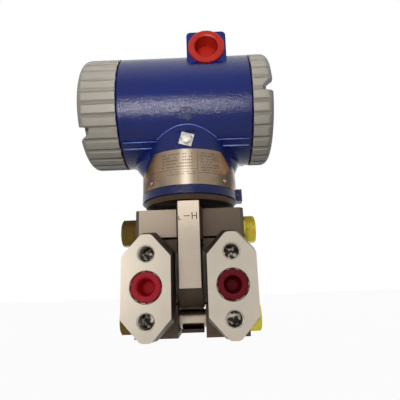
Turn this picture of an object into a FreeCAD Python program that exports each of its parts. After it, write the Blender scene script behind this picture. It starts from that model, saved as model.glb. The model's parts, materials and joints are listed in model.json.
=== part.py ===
"""Differential pressure transmitter: two process covers bolted to a sensor, with a two-chamber housing on top.

Millimetres, +Z up.  The origin is the centre of the four-hole pattern on the front flange plane:
X runs along the housing, -Y points out of the flange faces, and the neck stands at Y = flange_reach.
Every driving size is a cell of the sheet "Sizes"; features take their sizes from it by expression.
"""
import FreeCAD, Part
import math
import os

import PartDesign
import Sketcher
from FreeCAD import Placement, Rotation, Vector

# ---------------------------------------------------------------- driving sizes

SIZES = [
    # process flanges and covers
    ("flange_reach", 47.0, "flange plane to the neck axis"),
    ("port_spacing", 54.0, "between the two process ports"),
    ("hole_spacing", 41.3, "between the upper and lower flange holes"),
    ("flange_width", 31.2, "flange face, across its flats"),
    ("flange_height", 66.0, "flange face, tip to tip"),
    ("flange_shoulder", 38.0, "height of the flange face's upright sides"),
    ("flange_tip_width", 6.6, "flat at each tip"),
    ("flange_lip", 14.0, "depth over which the face grows into its neck"),
    ("flange_hole_diameter", 10.6, "tapped holes of the front flanges"),
    ("bracket_hole_diameter", 11.0, "tapped holes of the rear flanges, for a bracket"),
    ("flange_hole_depth", 18.0, "tapped flange holes"),
    ("hole_chamfer", 0.45, "countersink of the flange holes"),
    ("port_diameter", 14.0, "process port"),
    ("port_depth", 17.0, "process port"),
    ("port_seat_diameter", 19.8, "counterbore round the process port"),
    ("port_seat_depth", 2.2, "counterbore round the process port"),
    ("channel_diameter", 5.0, "drilled passages"),
    ("cover_face", 9.4, "sensor mid-plane to a cover's inner face"),
    ("cover_thickness", 29.4, "process cover along X"),
    ("cover_depth", 40.0, "process cover's blocks, front to back"),
    ("web_recess", 2.5, "how far the web stands back from the blocks"),
    ("cover_top", 54.5, "top of the upper block"),
    ("cover_shoulder", 34.5, "underside of the upper block"),
    ("cover_heel", 12.0, "top of the lower block, below the ports"),
    ("cover_base", 33.4, "underside, below the ports"),
    ("chamber_diameter", 33.0, "pressure chamber in a cover"),
    ("chamber_depth", 1.6, "pressure chamber in a cover"),
    # sensor body
    ("bar_width", 15.7, "upright bar along X"),
    ("bar_depth", 67.6, "upright bar, front to back"),
    ("bar_foot", 1.25, "lower front edge of the bar, below the ports"),
    ("bar_top", 57.4, "top of the bar"),
    ("saddle_depth", 24.0, "saddle that holds the lower bolt, front to back"),
    ("saddle_floor", 31.2, "underside of the saddle, below the ports"),
    ("capsule_height", 9.5, "centre of the sensing capsule above the ports"),
    ("capsule_diameter", 48.0, "sensing capsule"),
    ("capsule_width", 17.4, "sensing capsule along X"),
    ("shoulder_depth", 34.0, "sensor's shoulder above the capsule, front to back"),
    ("shoulder_low", 33.0, "underside of the shoulder, above the ports"),
    ("shoulder_gap", 0.2, "between the shoulder and each process cover"),
    ("diaphragm_diameter", 33.0, "isolating diaphragms"),
    ("diaphragm_recess", 1.0, "how deep the diaphragms lie"),
    ("diaphragm_thickness", 0.35, "isolating diaphragms"),
    ("gasket_inner", 36.0, "cover gasket"),
    ("gasket_outer", 45.0, "cover gasket"),
    ("gasket_thickness", 1.8, "cover gasket"),
    ("neck_flange_low", 60.0, "sensor neck flange, lower diameter"),
    ("neck_flange_wide", 70.4, "sensor neck flange, upper diameter"),
    ("neck_flange_top", 62.0, "top of the sensor neck flange"),
    ("sensor_neck_diameter", 48.0, "threaded sensor neck"),
    ("sensor_neck_top", 82.0, "top of the threaded neck"),
    # through-bolts
    ("upper_bolt_height", 41.0, "upper bolt above the ports"),
    ("lower_bolt_drop", 22.0, "lower bolt below the ports"),
    ("bolt_diameter", 12.7, "through-bolts"),
    ("bolt_clearance", 0.4, "radial gap round the bolts"),
    ("hex_flats", 19.0, "bolt heads and nuts across flats"),
    ("bolt_head_height", 11.0, "bolt heads"),
    ("nut_height", 8.0, "nuts"),
    ("washer_diameter", 22.0, "bolt washers"),
    ("washer_thickness", 1.6, "bolt washers"),
    # housing
    ("housing_height", 138.9, "housing axis above the ports"),
    ("housing_diameter", 87.6, "cast cylinder"),
    ("housing_left", 49.7, "neck axis to the left end of the cylinder"),
    ("housing_right", 48.4, "neck axis to the right end of the cylinder"),
    ("chamber_bore", 73.0, "both housing chambers"),
    ("partition_left", 6.0, "neck axis to the left face of the partition"),
    ("partition_right", 8.0, "neck axis to the right face of the partition"),
    ("neck_diameter", 71.2, "cast neck"),
    ("ring_diameter", 72.8, "ring at the foot of the neck"),
    ("ring_height", 5.7, "ring at the foot of the neck"),
    ("swivel_gap", 0.4, "between the ring and the sensor flange"),
    ("swivel_clearance", 0.3, "radial gap between neck bore and sensor neck"),
    ("flare_drop", 54.9, "housing axis down to where the neck starts to widen sideways"),
    ("flare_rise", 9.0, "height over which the neck widens"),
    ("flare_left", 42.0, "half width of the flare, left"),
    ("flare_right", 39.4, "half width of the flare, right"),
    ("hub_offset", 16.8, "conduit hub from the neck axis"),
    ("hub_width", 29.6, "conduit hub along X"),
    ("hub_depth", 74.0, "conduit hub, front to back"),
    ("hub_rise", 48.9, "top of the conduit hub above the housing axis"),
    ("hub_round", 3.2, "upper corners of the conduit hub"),
    ("conduit_rise", 35.6, "conduit entries above the housing axis"),
    ("conduit_diameter", 20.6, "conduit entries"),
    ("conduit_depth", 15.0, "conduit entries"),
    ("spot_face_diameter", 28.0, "flat turned round each conduit entry"),
    ("spot_face_cut", 0.2, "flat turned round each conduit entry, into the hub's face"),
    ("rail_width", 6.6, "flat rails along the cylinder"),
    ("rail_proud", 0.9, "flat rails along the cylinder"),
    ("rail_inner", 22.0, "inner ends of the rails"),
    ("rail_end_gap", 2.6, "outer ends of the rails, from the cylinder's ends"),
    ("rail_angle", 55.0, "rails below the horizontal"),
    ("disc_diameter", 9.8, "plain raised ring on the cylinder's front"),
    ("disc_inner", 8.4, "inside of the plain raised ring"),
    ("disc_proud", 0.5, "how far the plain ring stands out"),
    ("disc_root", 2.5, "how deep the plain ring's foot lies in the cylinder"),
    ("disc_drop", 18.8, "plain raised ring below the housing axis"),
    ("lug_reach", 40.0, "lock lug's outer face from the neck axis"),
    ("lug_width", 9.0, "lock lug, front to back"),
    ("lug_height", 9.6, "lock lug"),
    ("lock_screw_diameter", 4.0, "lock screw"),
    # covers of the housing
    ("cap_diameter", 88.0, "fluted covers"),
    ("display_cap_length", 28.9, "long cover"),
    ("terminal_cap_length", 15.5, "short cover"),
    ("cap_round", 6.0, "rounded rim of the covers"),
    ("cap_gap", 0.4, "cover flange to the housing's end"),
    ("cap_skirt", 12.0, "threaded skirt inside the housing"),
    ("skirt_clearance", 0.3, "radial gap round the skirt"),
    ("cap_bore", 65.2, "inside of the covers"),
    ("terminal_cap_end", 5.0, "end wall of the short cover"),
    ("window_diameter", 52.0, "opening in the long cover"),
    ("window_lip", 4.0, "wall in front of the glass"),
    ("flute_count", 34, "flutes round each cover"),
    ("flute_diameter", 3.6, "round bottom of a flute"),
    ("flute_depth", 1.3, "flutes"),
    ("notch_length", 14.0, "wrench notch along the rim"),
    ("notch_depth", 8.5, "wrench notch along the axis"),
    ("notch_radial", 8.0, "wrench notch towards the axis"),
    ("display_notch_angle", 225.0, "first notch of the long cover"),
    ("terminal_notch_angle", 275.0, "first notch of the short cover"),
    ("oring_section", 2.2, "cover O-rings"),
    ("oring_diameter", 76.2, "cover O-rings, centre of the section"),
    ("glass_thickness", 6.0, "window glass"),
    ("glass_clearance", 0.2, "radial gap round the glass"),
    ("window_gasket_thickness", 0.8, "window gasket"),
    ("retainer_width", 3.0, "window retaining ring"),
    ("retainer_thickness", 3.0, "window retaining ring"),
    # inside the housing
    ("module_diameter", 62.0, "electronics and display modules"),
    ("module_length", 32.0, "electronics module"),
    ("display_length", 14.0, "display module"),
    ("screen_width", 36.0, "display screen"),
    ("screen_height", 22.0, "display screen"),
    ("screen_thickness", 1.2, "display screen"),
    ("button_diameter", 6.0, "display buttons"),
    ("button_spacing", 22.0, "between the display buttons"),
    ("button_drop", 20.0, "display buttons below the axis"),
    ("button_travel", 1.0, "display buttons"),
    ("block_length", 20.0, "terminal block"),
    ("terminal_count", 3, "terminal screws"),
    ("terminal_pitch", 14.0, "between terminal screws"),
    ("terminal_screw_diameter", 6.4, "terminal screw heads"),
    ("feed_diameter", 12.0, "feed-through in the partition"),
    # outside fittings
    ("plate_thickness", 0.5, "nameplate"),
    ("plate_bottom", 68.7, "nameplate's lower edge"),
    ("plate_gap", 7.7, "ground screw down to the nameplate's upper edge"),
    ("plate_flare_gap", 0.6, "between the nameplate's ends and the widening of the neck"),
    ("plate_level", 49.0, "level part of the nameplate's upper edge"),
    ("plate_slope", 6.5, "width of the slope at each end of the upper edge"),
    ("ground_drop", 36.8, "ground screw below the housing axis"),
    ("pocket_width", 15.0, "flat pocket round the ground screw"),
    ("pocket_cut", 1.5, "depth of the flat pocket in the neck"),
    ("pocket_rise", 6.4, "flat pocket's upper edge above the ground screw"),
    ("ground_washer_side", 9.2, "square ground washer"),
    ("ground_washer_thickness", 1.4, "square ground washer"),
    ("ground_washer_tilt", 16.0, "square ground washer"),
    ("ground_head_diameter", 8.2, "ground screw head"),
    ("ground_shank_diameter", 4.0, "ground screw shank"),
    ("conduit_cap_diameter", 27.1, "red conduit cap's flange"),
    ("conduit_cap_rim", 2.4, "red conduit cap's flange thickness"),
    ("conduit_cap_wall", 1.2, "red conduit cap's stem wall"),
    ("cap_fit", 0.3, "radial gap round push-in caps"),
    ("port_cap_diameter", 19.0, "red port cap's flange"),
    ("port_cap_wall", 1.0, "red port cap's stem wall"),
    ("vent_hex", 14.0, "vent plug across flats"),
    ("vent_screw_diameter", 5.0, "vent screw"),
]

# ---------------------------------------------------------------- the sheet, and lengths that follow it


class Length:
    """A number together with the sheet expression that it comes from."""

    def __init__(self, value, text):
        self.value = value
        self.text = text

    @staticmethod
    def of(item):
        return item if isinstance(item, Length) else Length(float(item), repr(float(item)))

    def combine(self, other, sign, result):
        return Length(result, f"({self.text} {sign} {Length.of(other).text})")

    def __add__(self, other):
        return self.combine(other, "+", self.value + Length.of(other).value)

    def __sub__(self, other):
        return self.combine(other, "-", self.value - Length.of(other).value)

    def __mul__(self, other):
        return self.combine(other, "*", self.value * Length.of(other).value)

    def __truediv__(self, other):
        return self.combine(other, "/", self.value / Length.of(other).value)

    def __radd__(self, other):
        return Length.of(other) + self

    def __rsub__(self, other):
        return Length.of(other) - self

    def __rmul__(self, other):
        return Length.of(other) * self

    def __neg__(self):
        return Length(-self.value, f"(0 - {self.text})")


class Sizes:
    """The driving sizes by name."""


def make_sheet(doc):
    """Write the sizes into the sheet and give each one back as a Length."""
    sheet = doc.addObject("Spreadsheet::Sheet", "Sizes")
    sizes = Sizes()
    for row, (alias, number, meaning) in enumerate(SIZES, start=1):
        sheet.set(f"A{row}", alias)
        sheet.set(f"B{row}", str(number))
        sheet.set(f"C{row}", meaning)
        sheet.setAlias(f"B{row}", alias)
        setattr(sizes, alias, Length(number, f"Sizes.{alias}"))
    doc.recompute()
    return sizes


doc = FreeCAD.newDocument("pressure_transmitter")
size = make_sheet(doc)

# ---------------------------------------------------------------- modelling helpers

FACING = {
    "+Z": Rotation(),
    "-Z": Rotation(Vector(1, 0, 0), 180),
    "+X": Rotation(Vector(0, 1, 0), 90),
    "-X": Rotation(Vector(0, 1, 0), -90),
    "+Y": Rotation(Vector(1, 0, 0), -90),
    "-Y": Rotation(Vector(1, 0, 0), 90),
}
NODES = []


def bind(item, prop, length):
    item.setExpression(prop, Length.of(length).text)


def new_body(name, at=(0, 0, 0), turn=None):
    """An empty body, labelled with its node name, standing at `at` and turned by `turn`."""
    body = doc.addObject("PartDesign::Body", name)
    body.Label = name
    body.Placement = Placement(Vector(0, 0, 0), turn or Rotation())
    for letter, length in zip("xyz", at):
        bind(body, f"Placement.Base.{letter}", length)
    NODES.append(body)
    return body


def origin_plane(body, role):
    return next(item for item in body.Origin.OriginFeatures if item.Role == role)


def new_sketch(body, name, plane, offset=(0, 0, 0)):
    """A sketch on one of the body's own planes, moved by `offset` in the plane's directions."""
    sketch = body.newObject("Sketcher::SketchObject", name)
    sketch.AttachmentSupport = (origin_plane(body, plane), "")
    sketch.MapMode = "FlatFace"
    for letter, length in zip("xyz", offset):
        bind(sketch, f"AttachmentOffset.Base.{letter}", length)
    return sketch


def fix_point(sketch, item, end, across, along):
    """Pin one end of a sketch item to its distances from the sketch's origin."""
    for kind, length in (("DistanceX", across), ("DistanceY", along)):
        length = Length.of(length)
        index = sketch.addConstraint(Sketcher.Constraint(kind, -1, 1, item, end, length.value))
        bind(sketch, f"Constraints[{index}]", length)


def draw_outline(sketch, points):
    """A closed outline of straight lines through `points`, each pinned in place."""
    corners = [Vector(Length.of(x).value, Length.of(y).value, 0) for x, y in points]
    lines = [Part.LineSegment(a, b) for a, b in zip(corners, corners[1:] + corners[:1])]
    first = sketch.addGeometry(lines, False)[0]
    count = len(lines)
    for index, (across, along) in enumerate(points):
        after = first + (index + 1) % count
        sketch.addConstraint(Sketcher.Constraint("Coincident", first + index, 2, after, 1))
        fix_point(sketch, first + index, 1, across, along)


def draw_circle(sketch, across, along, diameter):
    radius = Length.of(diameter) / 2
    centre = Vector(Length.of(across).value, Length.of(along).value, 0)
    item = sketch.addGeometry(Part.Circle(centre, Vector(0, 0, 1), radius.value), False)
    index = sketch.addConstraint(Sketcher.Constraint("Radius", item, radius.value))
    bind(sketch, f"Constraints[{index}]", radius)
    fix_point(sketch, item, 3, across, along)


def rectangle(width, height, across=0, along=0):
    """Corners of a rectangle centred on (across, along)."""
    half_w, half_h = Length.of(width) / 2, Length.of(height) / 2
    across, along = Length.of(across), Length.of(along)
    return [(across - half_w, along - half_h), (across + half_w, along - half_h),
            (across + half_w, along + half_h), (across - half_w, along + half_h)]


def hexagon(flats, across=0, along=0):
    """Corners of a regular hexagon with two upright flats."""
    reach = Length.of(flats) / math.sqrt(3)
    turns = [math.radians(30 + 60 * step) for step in range(6)]
    return [(across + reach * math.cos(turn), along + reach * math.sin(turn)) for turn in turns]


def pad(body, name, sketch, length, middle=False, back=False):
    """Add material on a sketch: along its normal, against it (back) or both ways (middle)."""
    feature = body.newObject("PartDesign::Pad", name)
    feature.Profile = sketch
    feature.Midplane = middle
    feature.Reversed = back
    bind(feature, "Length", length)
    return feature


def pocket(body, name, sketch, length, middle=False, back=False):
    """Cut a sketch out of the body: against its normal, along it (back) or both ways (middle)."""
    doc.recompute()
    before = body.Shape.Volume
    feature = body.newObject("PartDesign::Pocket", name)
    feature.Profile = sketch
    feature.Midplane = middle
    feature.Reversed = back
    bind(feature, "Length", length)
    doc.recompute()
    if body.Shape.Volume > before - 1e-6:
        raise RuntimeError(f"{body.Label}: {name} cuts nothing")
    return feature


def revolve(body, name, points, cut=False):
    """Turn an outline of (radius, height) points round the body's own Z axis."""
    sketch = new_sketch(body, name + "_outline", "XZ_Plane")
    draw_outline(sketch, points)
    if cut:
        doc.recompute()
        before = body.Shape.Volume
    feature = body.newObject("PartDesign::Groove" if cut else "PartDesign::Revolution", name)
    feature.Profile = sketch
    feature.ReferenceAxis = (sketch, ["V_Axis"])
    feature.Angle = 360.0
    if cut:
        doc.recompute()
        if body.Shape.Volume > before - 1e-6:
            raise RuntimeError(f"{body.Label}: {name} cuts nothing")
    return feature


def primitive(body, kind, name, at, facing, **dimensions):
    """A PartDesign primitive at `at`, with its own Z turned to `facing`."""
    subtracts = kind.startswith("Subtractive")
    if subtracts:
        doc.recompute()
        before = body.Shape.Volume
    feature = body.newObject("PartDesign::" + kind, name)
    feature.Placement = Placement(Vector(0, 0, 0), FACING[facing])
    for letter, length in zip("xyz", at):
        bind(feature, f"Placement.Base.{letter}", length)
    for prop, length in dimensions.items():
        bind(feature, prop, length)
    if subtracts:
        doc.recompute()
        if body.Shape.Volume > before - 1e-6:
            raise RuntimeError(f"{body.Label}: {name} cuts nothing")
    return feature


def bore(body, name, at, facing, diameter, depth):
    """A round hole that starts at `at` and runs towards `facing`."""
    return primitive(body, "SubtractiveCylinder", name, at, facing,
                     Radius=Length.of(diameter) / 2, Height=depth)


def repeat_round(body, name, features, count):
    """Repeat features round the body's own Z axis."""
    pattern = body.newObject("PartDesign::PolarPattern", name)
    pattern.Originals = features
    pattern.Axis = (next(item for item in body.Origin.OriginFeatures if item.Role == "Z_Axis"), [""])
    pattern.Angle = 360.0
    if isinstance(count, Length):
        bind(pattern, "Occurrences", count)
    else:
        pattern.Occurrences = count
    body.Tip = pattern
    return pattern


def mirror(body, name, features, plane):
    """Mirror features in one of the body's own planes."""
    copy = body.newObject("PartDesign::Mirrored", name)
    copy.Originals = features
    copy.MirrorPlane = (origin_plane(body, plane), [""])
    body.Tip = copy
    return copy


def dress(body, kind, name, width, wanted):
    """A Fillet or Chamfer of `width` on the edges for which `wanted` is true."""
    doc.recompute()
    base = body.Tip
    picked = [f"Edge{number}" for number, edge in enumerate(base.Shape.Edges, start=1) if wanted(edge)]
    if not picked:
        raise RuntimeError(f"{body.Label}: {name} finds no edge")
    feature = body.newObject("PartDesign::" + kind, name)
    feature.Base = (base, picked)
    bind(feature, "Radius" if kind == "Fillet" else "Size", width)
    return feature


def circle_edge(radius, height, slack=0.01):
    """Test for full circular edges of a radius round the body's own Z axis, at a height."""
    radius, height = Length.of(radius).value, Length.of(height).value

    def matches(edge):
        if not isinstance(edge.Curve, Part.Circle):
            return False
        middle = edge.Curve.Center
        return (abs(edge.Curve.Radius - radius) < slack and abs(middle.z - height) < slack
                and math.hypot(middle.x, middle.y) < slack)
    return matches


# ---------------------------------------------------------------- process covers


def flange_outline(width, shoulder_top, shoulder_bottom, tip_width, top, bottom, across):
    """Eight corners of an upright, elongated hexagon with flat tips."""
    half, tip = Length.of(width) / 2, Length.of(tip_width) / 2
    return [(across + half, -shoulder_bottom), (across + half, Length.of(shoulder_top)),
            (across + tip, Length.of(top)), (across - tip, Length.of(top)),
            (across - half, Length.of(shoulder_top)), (across - half, -shoulder_bottom),
            (across - tip, -Length.of(bottom)), (across + tip, -Length.of(bottom))]


def process_cover(name, turned):
    """One process cover: bolted block with a flange face to the front and the same face to the rear.

    The body's own origin is on the sensor's mid-plane under the neck, and its X points outwards.
    """
    turn = Rotation(Vector(0, 0, 1), 180 if turned else 0)
    body = new_body(name, (0, size.flange_reach, 0), turn)
    half_depth = size.cover_depth / 2
    web = half_depth - size.web_recess
    corner = size.web_recess / 2

    section = new_sketch(body, name + "_section", "YZ_Plane", (0, 0, size.cover_face))
    front = [(-half_depth, -size.cover_base), (-half_depth, -size.cover_heel),
             (-web, -size.cover_heel + corner), (-web, size.cover_shoulder - corner),
             (-half_depth, size.cover_shoulder), (-half_depth, size.cover_top)]
    rear = [(-across, along) for across, along in reversed(front)]
    draw_outline(section, front + rear)
    pad(body, name + "_block", section, size.cover_thickness)

    port_x = size.port_spacing / 2
    reach = size.flange_reach
    face = new_sketch(body, name + "_face", "XZ_Plane", (0, 0, reach))
    draw_outline(face, flange_outline(size.flange_width, size.flange_shoulder / 2, size.flange_shoulder / 2,
                                      size.flange_tip_width, size.flange_height / 2,
                                      size.flange_height / 2, port_x))
    root = new_sketch(body, name + "_root", "XZ_Plane", (0, 0, reach - size.flange_lip))
    draw_outline(root, flange_outline(size.flange_width + 1.2, size.flange_shoulder / 2 + 4.5,
                                      size.flange_shoulder / 2 + 3.0, size.flange_tip_width + 3.0,
                                      size.flange_height / 2 + 3.2, size.cover_base, port_x))
    lip = body.newObject("PartDesign::AdditiveLoft", name + "_lip")
    lip.Profile = face
    lip.Sections = [root]
    lip.Ruled = True
    stem = pad(body, name + "_stem", root, reach - size.flange_lip - web + 1, back=True)
    mirror(body, name + "_rear_flange", [lip, stem], "XZ_Plane")

    doc.recompute()
    tip_half = size.flange_tip_width.value / 2
    half_height = size.flange_height.value / 2

    def tip_edge(edge):
        """The short creases either side of each tip of both flanges, on the lofted lip."""
        ends = [vertex.Point for vertex in edge.Vertexes]
        if len(ends) != 2:
            return False
        outer = max(ends, key=lambda point: abs(point.y))
        inner = min(ends, key=lambda point: abs(point.y))
        return (abs(abs(outer.y) - reach.value) < 0.01
                and abs(abs(inner.y) - (reach.value - size.flange_lip.value)) < 0.01
                and abs(abs(outer.z) - half_height) < 0.01)
    dress(body, "Fillet", name + "_tips", 4.5, tip_edge)

    seat_radius = size.port_seat_diameter / 2
    holes = [size.flange_hole_diameter, size.bracket_hole_diameter]
    if turned:
        holes.reverse()
    for face_label, sign, inward, diameter in (("front", -1, "+Y", holes[0]), ("rear", 1, "-Y", holes[1])):
        plane = sign * reach
        for label, height in (("upper", size.hole_spacing / 2), ("lower", -size.hole_spacing / 2)):
            hole = f"{name}_{face_label}_{label}"
            bore(body, hole + "_hole", (port_x, plane, height), inward,
                 diameter, size.flange_hole_depth)
            primitive(body, "SubtractiveCone", hole + "_sink", (port_x, plane, height), inward,
                      Radius1=diameter / 2 + size.hole_chamfer, Radius2=diameter / 2,
                      Height=size.hole_chamfer)
        port = f"{name}_{face_label}_port"
        bore(body, port + "_seat", (port_x, plane, 0), inward,
             size.port_seat_diameter, size.port_seat_depth)
        primitive(body, "SubtractiveCone", port + "_sink", (port_x, plane, 0), inward,
                  Radius1=seat_radius + size.hole_chamfer, Radius2=seat_radius,
                  Height=size.hole_chamfer)
        bore(body, port, (port_x, plane, 0), inward, size.port_diameter, size.port_depth)
    bore(body, name + "_channel", (port_x, -reach + size.port_depth - 1, 0), "+Y",
         size.channel_diameter, 2 * (reach - size.port_depth + 1))
    bore(body, name + "_chamber", (size.cover_face, 0, size.capsule_height), "+X",
         size.chamber_diameter, size.chamber_depth)
    bore(body, name + "_cross", (size.cover_face, 0, 0), "+X",
         size.channel_diameter, port_x - size.cover_face)
    groove_depth = size.gasket_thickness - (size.cover_face - size.capsule_width / 2)
    groove = new_sketch(body, name + "_groove_ring", "YZ_Plane", (0, 0, size.cover_face))
    draw_circle(groove, 0, size.capsule_height, size.gasket_inner - 0.4)
    draw_circle(groove, 0, size.capsule_height, size.gasket_outer + 0.4)
    pocket(body, name + "_groove", groove, groove_depth + 0.05, back=True)
    bolt_hole = size.bolt_diameter + 2 * size.bolt_clearance
    for label, height in (("upper", size.upper_bolt_height), ("lower", -size.lower_bolt_drop)):
        bore(body, f"{name}_{label}_bolt_hole", (size.cover_face, 0, height), "+X",
             bolt_hole, size.cover_thickness)
    outer = (size.cover_face + size.cover_thickness).value

    def top_corner(edge):
        """Upright outer corners and outer top edge of the upper block."""
        ends = [vertex.Point for vertex in edge.Vertexes]
        return (len(ends) == 2 and all(abs(end.x - outer) < 0.01 for end in ends)
                and min(end.z for end in ends) > size.cover_shoulder.value - 0.01
                and all(abs(abs(end.y) - half_depth.value) < 0.01 for end in ends)
                and abs(ends[0].y - ends[1].y) < 0.01)
    dress(body, "Chamfer", name + "_corners", 2.6, top_corner)
    return body


cover_high = process_cover("process_cover_high", turned=False)
cover_low = process_cover("process_cover_low", turned=True)


def cover_gasket(name, side):
    """Flat ring squeezed between the capsule and a cover's groove."""
    facing = "+X" if side > 0 else "-X"
    body = new_body(name, (side * size.capsule_width / 2, size.flange_reach, size.capsule_height),
                    FACING[facing])
    inner, outer = size.gasket_inner / 2, size.gasket_outer / 2
    revolve(body, name + "_ring", [(inner, 0), (outer, 0), (outer, size.gasket_thickness),
                                   (inner, size.gasket_thickness)])
    return body


def diaphragm(name, side):
    """Thin isolating diaphragm with two concentric waves, welded into the capsule's recess."""
    facing = "+X" if side > 0 else "-X"
    floor = size.capsule_width / 2 - size.diaphragm_recess
    body = new_body(name, (side * floor, size.flange_reach, size.capsule_height), FACING[facing])
    radius, sheet = size.diaphragm_diameter / 2 - 0.1, size.diaphragm_thickness
    waves = 2
    steps = 2 * waves + 1
    crest = size.diaphragm_recess - sheet - 0.1
    low = [(radius * (step / steps), crest if step % 2 else Length.of(0)) for step in range(1, steps)]
    low = [(radius * 0.0, Length.of(0))] + low + [(radius, Length.of(0))]
    high = [(across, along + sheet) for across, along in reversed(low)]
    revolve(body, name + "_wave", low + high)
    return body


for label, side in (("high", 1), ("low", -1)):
    cover_gasket("cover_gasket_" + label, side)
    diaphragm("diaphragm_" + label, side)

# ---------------------------------------------------------------- sensor body


def sensor_body():
    """Upright bar, sensing capsule, lower bolt saddle and the round threaded neck, in one piece."""
    body = new_body("sensor_body", (0, size.flange_reach, 0))
    front = size.bar_depth / 2
    saddle = size.saddle_depth / 2
    bolt = size.bolt_diameter / 2 + size.bolt_clearance
    under = size.lower_bolt_drop - bolt
    side = new_sketch(body, "sensor_side", "YZ_Plane")
    draw_outline(side, [
        (-front, -size.bar_foot), (-saddle, -under + 1.4), (-saddle, -under),
        (bolt + 0.6, -under), (bolt + 0.6, -under - 2 * bolt), (-saddle + 4, -under - 2 * bolt),
        (-saddle + 4, -size.saddle_floor), (saddle, -size.saddle_floor), (saddle, -under + 1.4),
        (front, -size.bar_foot), (front, size.bar_top), (-front, size.bar_top)])
    pad(body, "sensor_bar", side, size.bar_width, middle=True)
    primitive(body, "AdditiveCylinder", "capsule", (-size.capsule_width / 2, 0, size.capsule_height),
              "+X", Radius=size.capsule_diameter / 2, Height=size.capsule_width)
    for label, side_sign, facing in (("high", 1, "-X"), ("low", -1, "+X")):
        bore(body, "diaphragm_seat_" + label,
             (side_sign * size.capsule_width / 2, 0, size.capsule_height), facing,
             size.diaphragm_diameter, size.diaphragm_recess)
    top, low = size.neck_flange_top, size.bar_top - 0.6
    wide, narrow = size.neck_flange_wide / 2, size.neck_flange_low / 2
    neck, seal = size.sensor_neck_diameter / 2, size.neck_flange_top + 3.0
    revolve(body, "neck_turning", [
        (0, low), (narrow, low), (narrow + 3.4, low + 1.9), (wide - 0.6, top - 1.0), (wide, top),
        (neck, top), (neck, seal), (neck - 2.0, seal), (neck - 2.0, seal + 2.6), (neck, seal + 2.6),
        (neck, size.sensor_neck_top - 1.5), (neck - 1.5, size.sensor_neck_top), (0, size.sensor_neck_top)])
    bore(body, "wire_hole", (0, 0, size.sensor_neck_top), "-Z", size.feed_diameter, 16)
    reach = size.cover_face - size.shoulder_gap
    primitive(body, "AdditiveBox", "shoulder", (-reach, -size.shoulder_depth / 2, size.shoulder_low),
              "+Z", Length=2 * reach, Width=size.shoulder_depth, Height=size.bar_top - size.shoulder_low)
    bore(body, "upper_bolt_hole", (-size.cover_face, 0, size.upper_bolt_height), "+X",
         size.bolt_diameter + 2 * size.bolt_clearance, 2 * size.cover_face)

    def front_edge(edge):
        """The long upright edges of the bar's front face."""
        ends = [vertex.Point for vertex in edge.Vertexes]
        return (len(ends) == 2 and all(abs(end.y + front.value) < 0.01 for end in ends)
                and abs(ends[0].z - ends[1].z) > 20)
    dress(body, "Chamfer", "bar_edges", 0.6, front_edge)
    return body


sensor_body()


def neck_oring():
    """Seal in the sensor neck's groove."""
    body = new_body("neck_oring", (0, size.flange_reach, size.neck_flange_top + 3.0 + 1.3))
    centre = size.sensor_neck_diameter / 2 - 0.9
    sketch = new_sketch(body, "neck_oring_section", "XZ_Plane")
    draw_circle(sketch, centre, 0, 2.0)
    ring = body.newObject("PartDesign::Revolution", "neck_oring_ring")
    ring.Profile = sketch
    ring.ReferenceAxis = (sketch, ["V_Axis"])
    ring.Angle = 360.0
    return body


neck_oring()

# ---------------------------------------------------------------- through-bolts


def hex_prism(body, name, flats, height, base=0):
    """A hexagonal prism with its outer corners turned off to a cone."""
    sketch = new_sketch(body, name + "_hex", "XY_Plane", (0, 0, base))
    draw_outline(sketch, hexagon(flats))
    pad(body, name + "_prism", sketch, height)
    top = Length.of(base) + height
    corner, flat = Length.of(flats) * 0.62, Length.of(flats) * 0.47
    return revolve(body, name + "_turned", [(flat, top + 0.1), (corner, top + 0.1),
                                            (corner, top - 1.9)], cut=True)


def through_bolt(label, height):
    """Bolt, nut and two washers that clamp the covers on the sensor at one height."""
    seat = size.cover_face + size.cover_thickness
    under_head = seat + size.washer_thickness
    at_head = (-under_head, size.flange_reach, height)
    at_nut = (under_head, size.flange_reach, height)
    bolt = new_body(label + "_bolt", at_head, FACING["-X"])
    length = 2 * under_head + size.nut_height
    hex_prism(bolt, label + "_bolt_head", size.hex_flats, size.bolt_head_height)
    primitive(bolt, "AdditiveCylinder", label + "_shank", (0, 0, 0), "-Z",
              Radius=size.bolt_diameter / 2, Height=length)
    nut = new_body(label + "_nut", at_nut, FACING["+X"])
    hex_prism(nut, label + "_nut", size.hex_flats, size.nut_height)
    bore(nut, label + "_nut_hole", (0, 0, 0), "+Z", size.bolt_diameter + 0.1, size.nut_height)
    for end, sign, facing in (("head", -1, "-X"), ("nut", 1, "+X")):
        washer = new_body(f"{label}_{end}_washer", (sign * seat, size.flange_reach, height), FACING[facing])
        inner, outer = size.bolt_diameter / 2 + 0.3, size.washer_diameter / 2
        revolve(washer, f"{label}_{end}_washer_ring",
                [(inner, 0), (outer, 0), (outer, size.washer_thickness), (inner, size.washer_thickness)])


through_bolt("upper", size.upper_bolt_height)
through_bolt("lower", -size.lower_bolt_drop)

# ---------------------------------------------------------------- housing casting

RING_BOTTOM = size.neck_flange_top + size.swivel_gap
HUB_TOP = size.housing_height + size.hub_rise
CONDUIT_HEIGHT = size.housing_height + size.conduit_rise
SPOT_FACE = size.hub_depth / 2 - size.spot_face_cut
FLARE_FOOT = size.housing_height - size.flare_drop
GROUND_HEIGHT = size.housing_height - size.ground_drop
PLATE_TOP = GROUND_HEIGHT - size.plate_gap
POCKET_TOP = GROUND_HEIGHT + size.pocket_rise
POCKET_FLOOR = size.neck_diameter / 2 - size.pocket_cut


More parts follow.
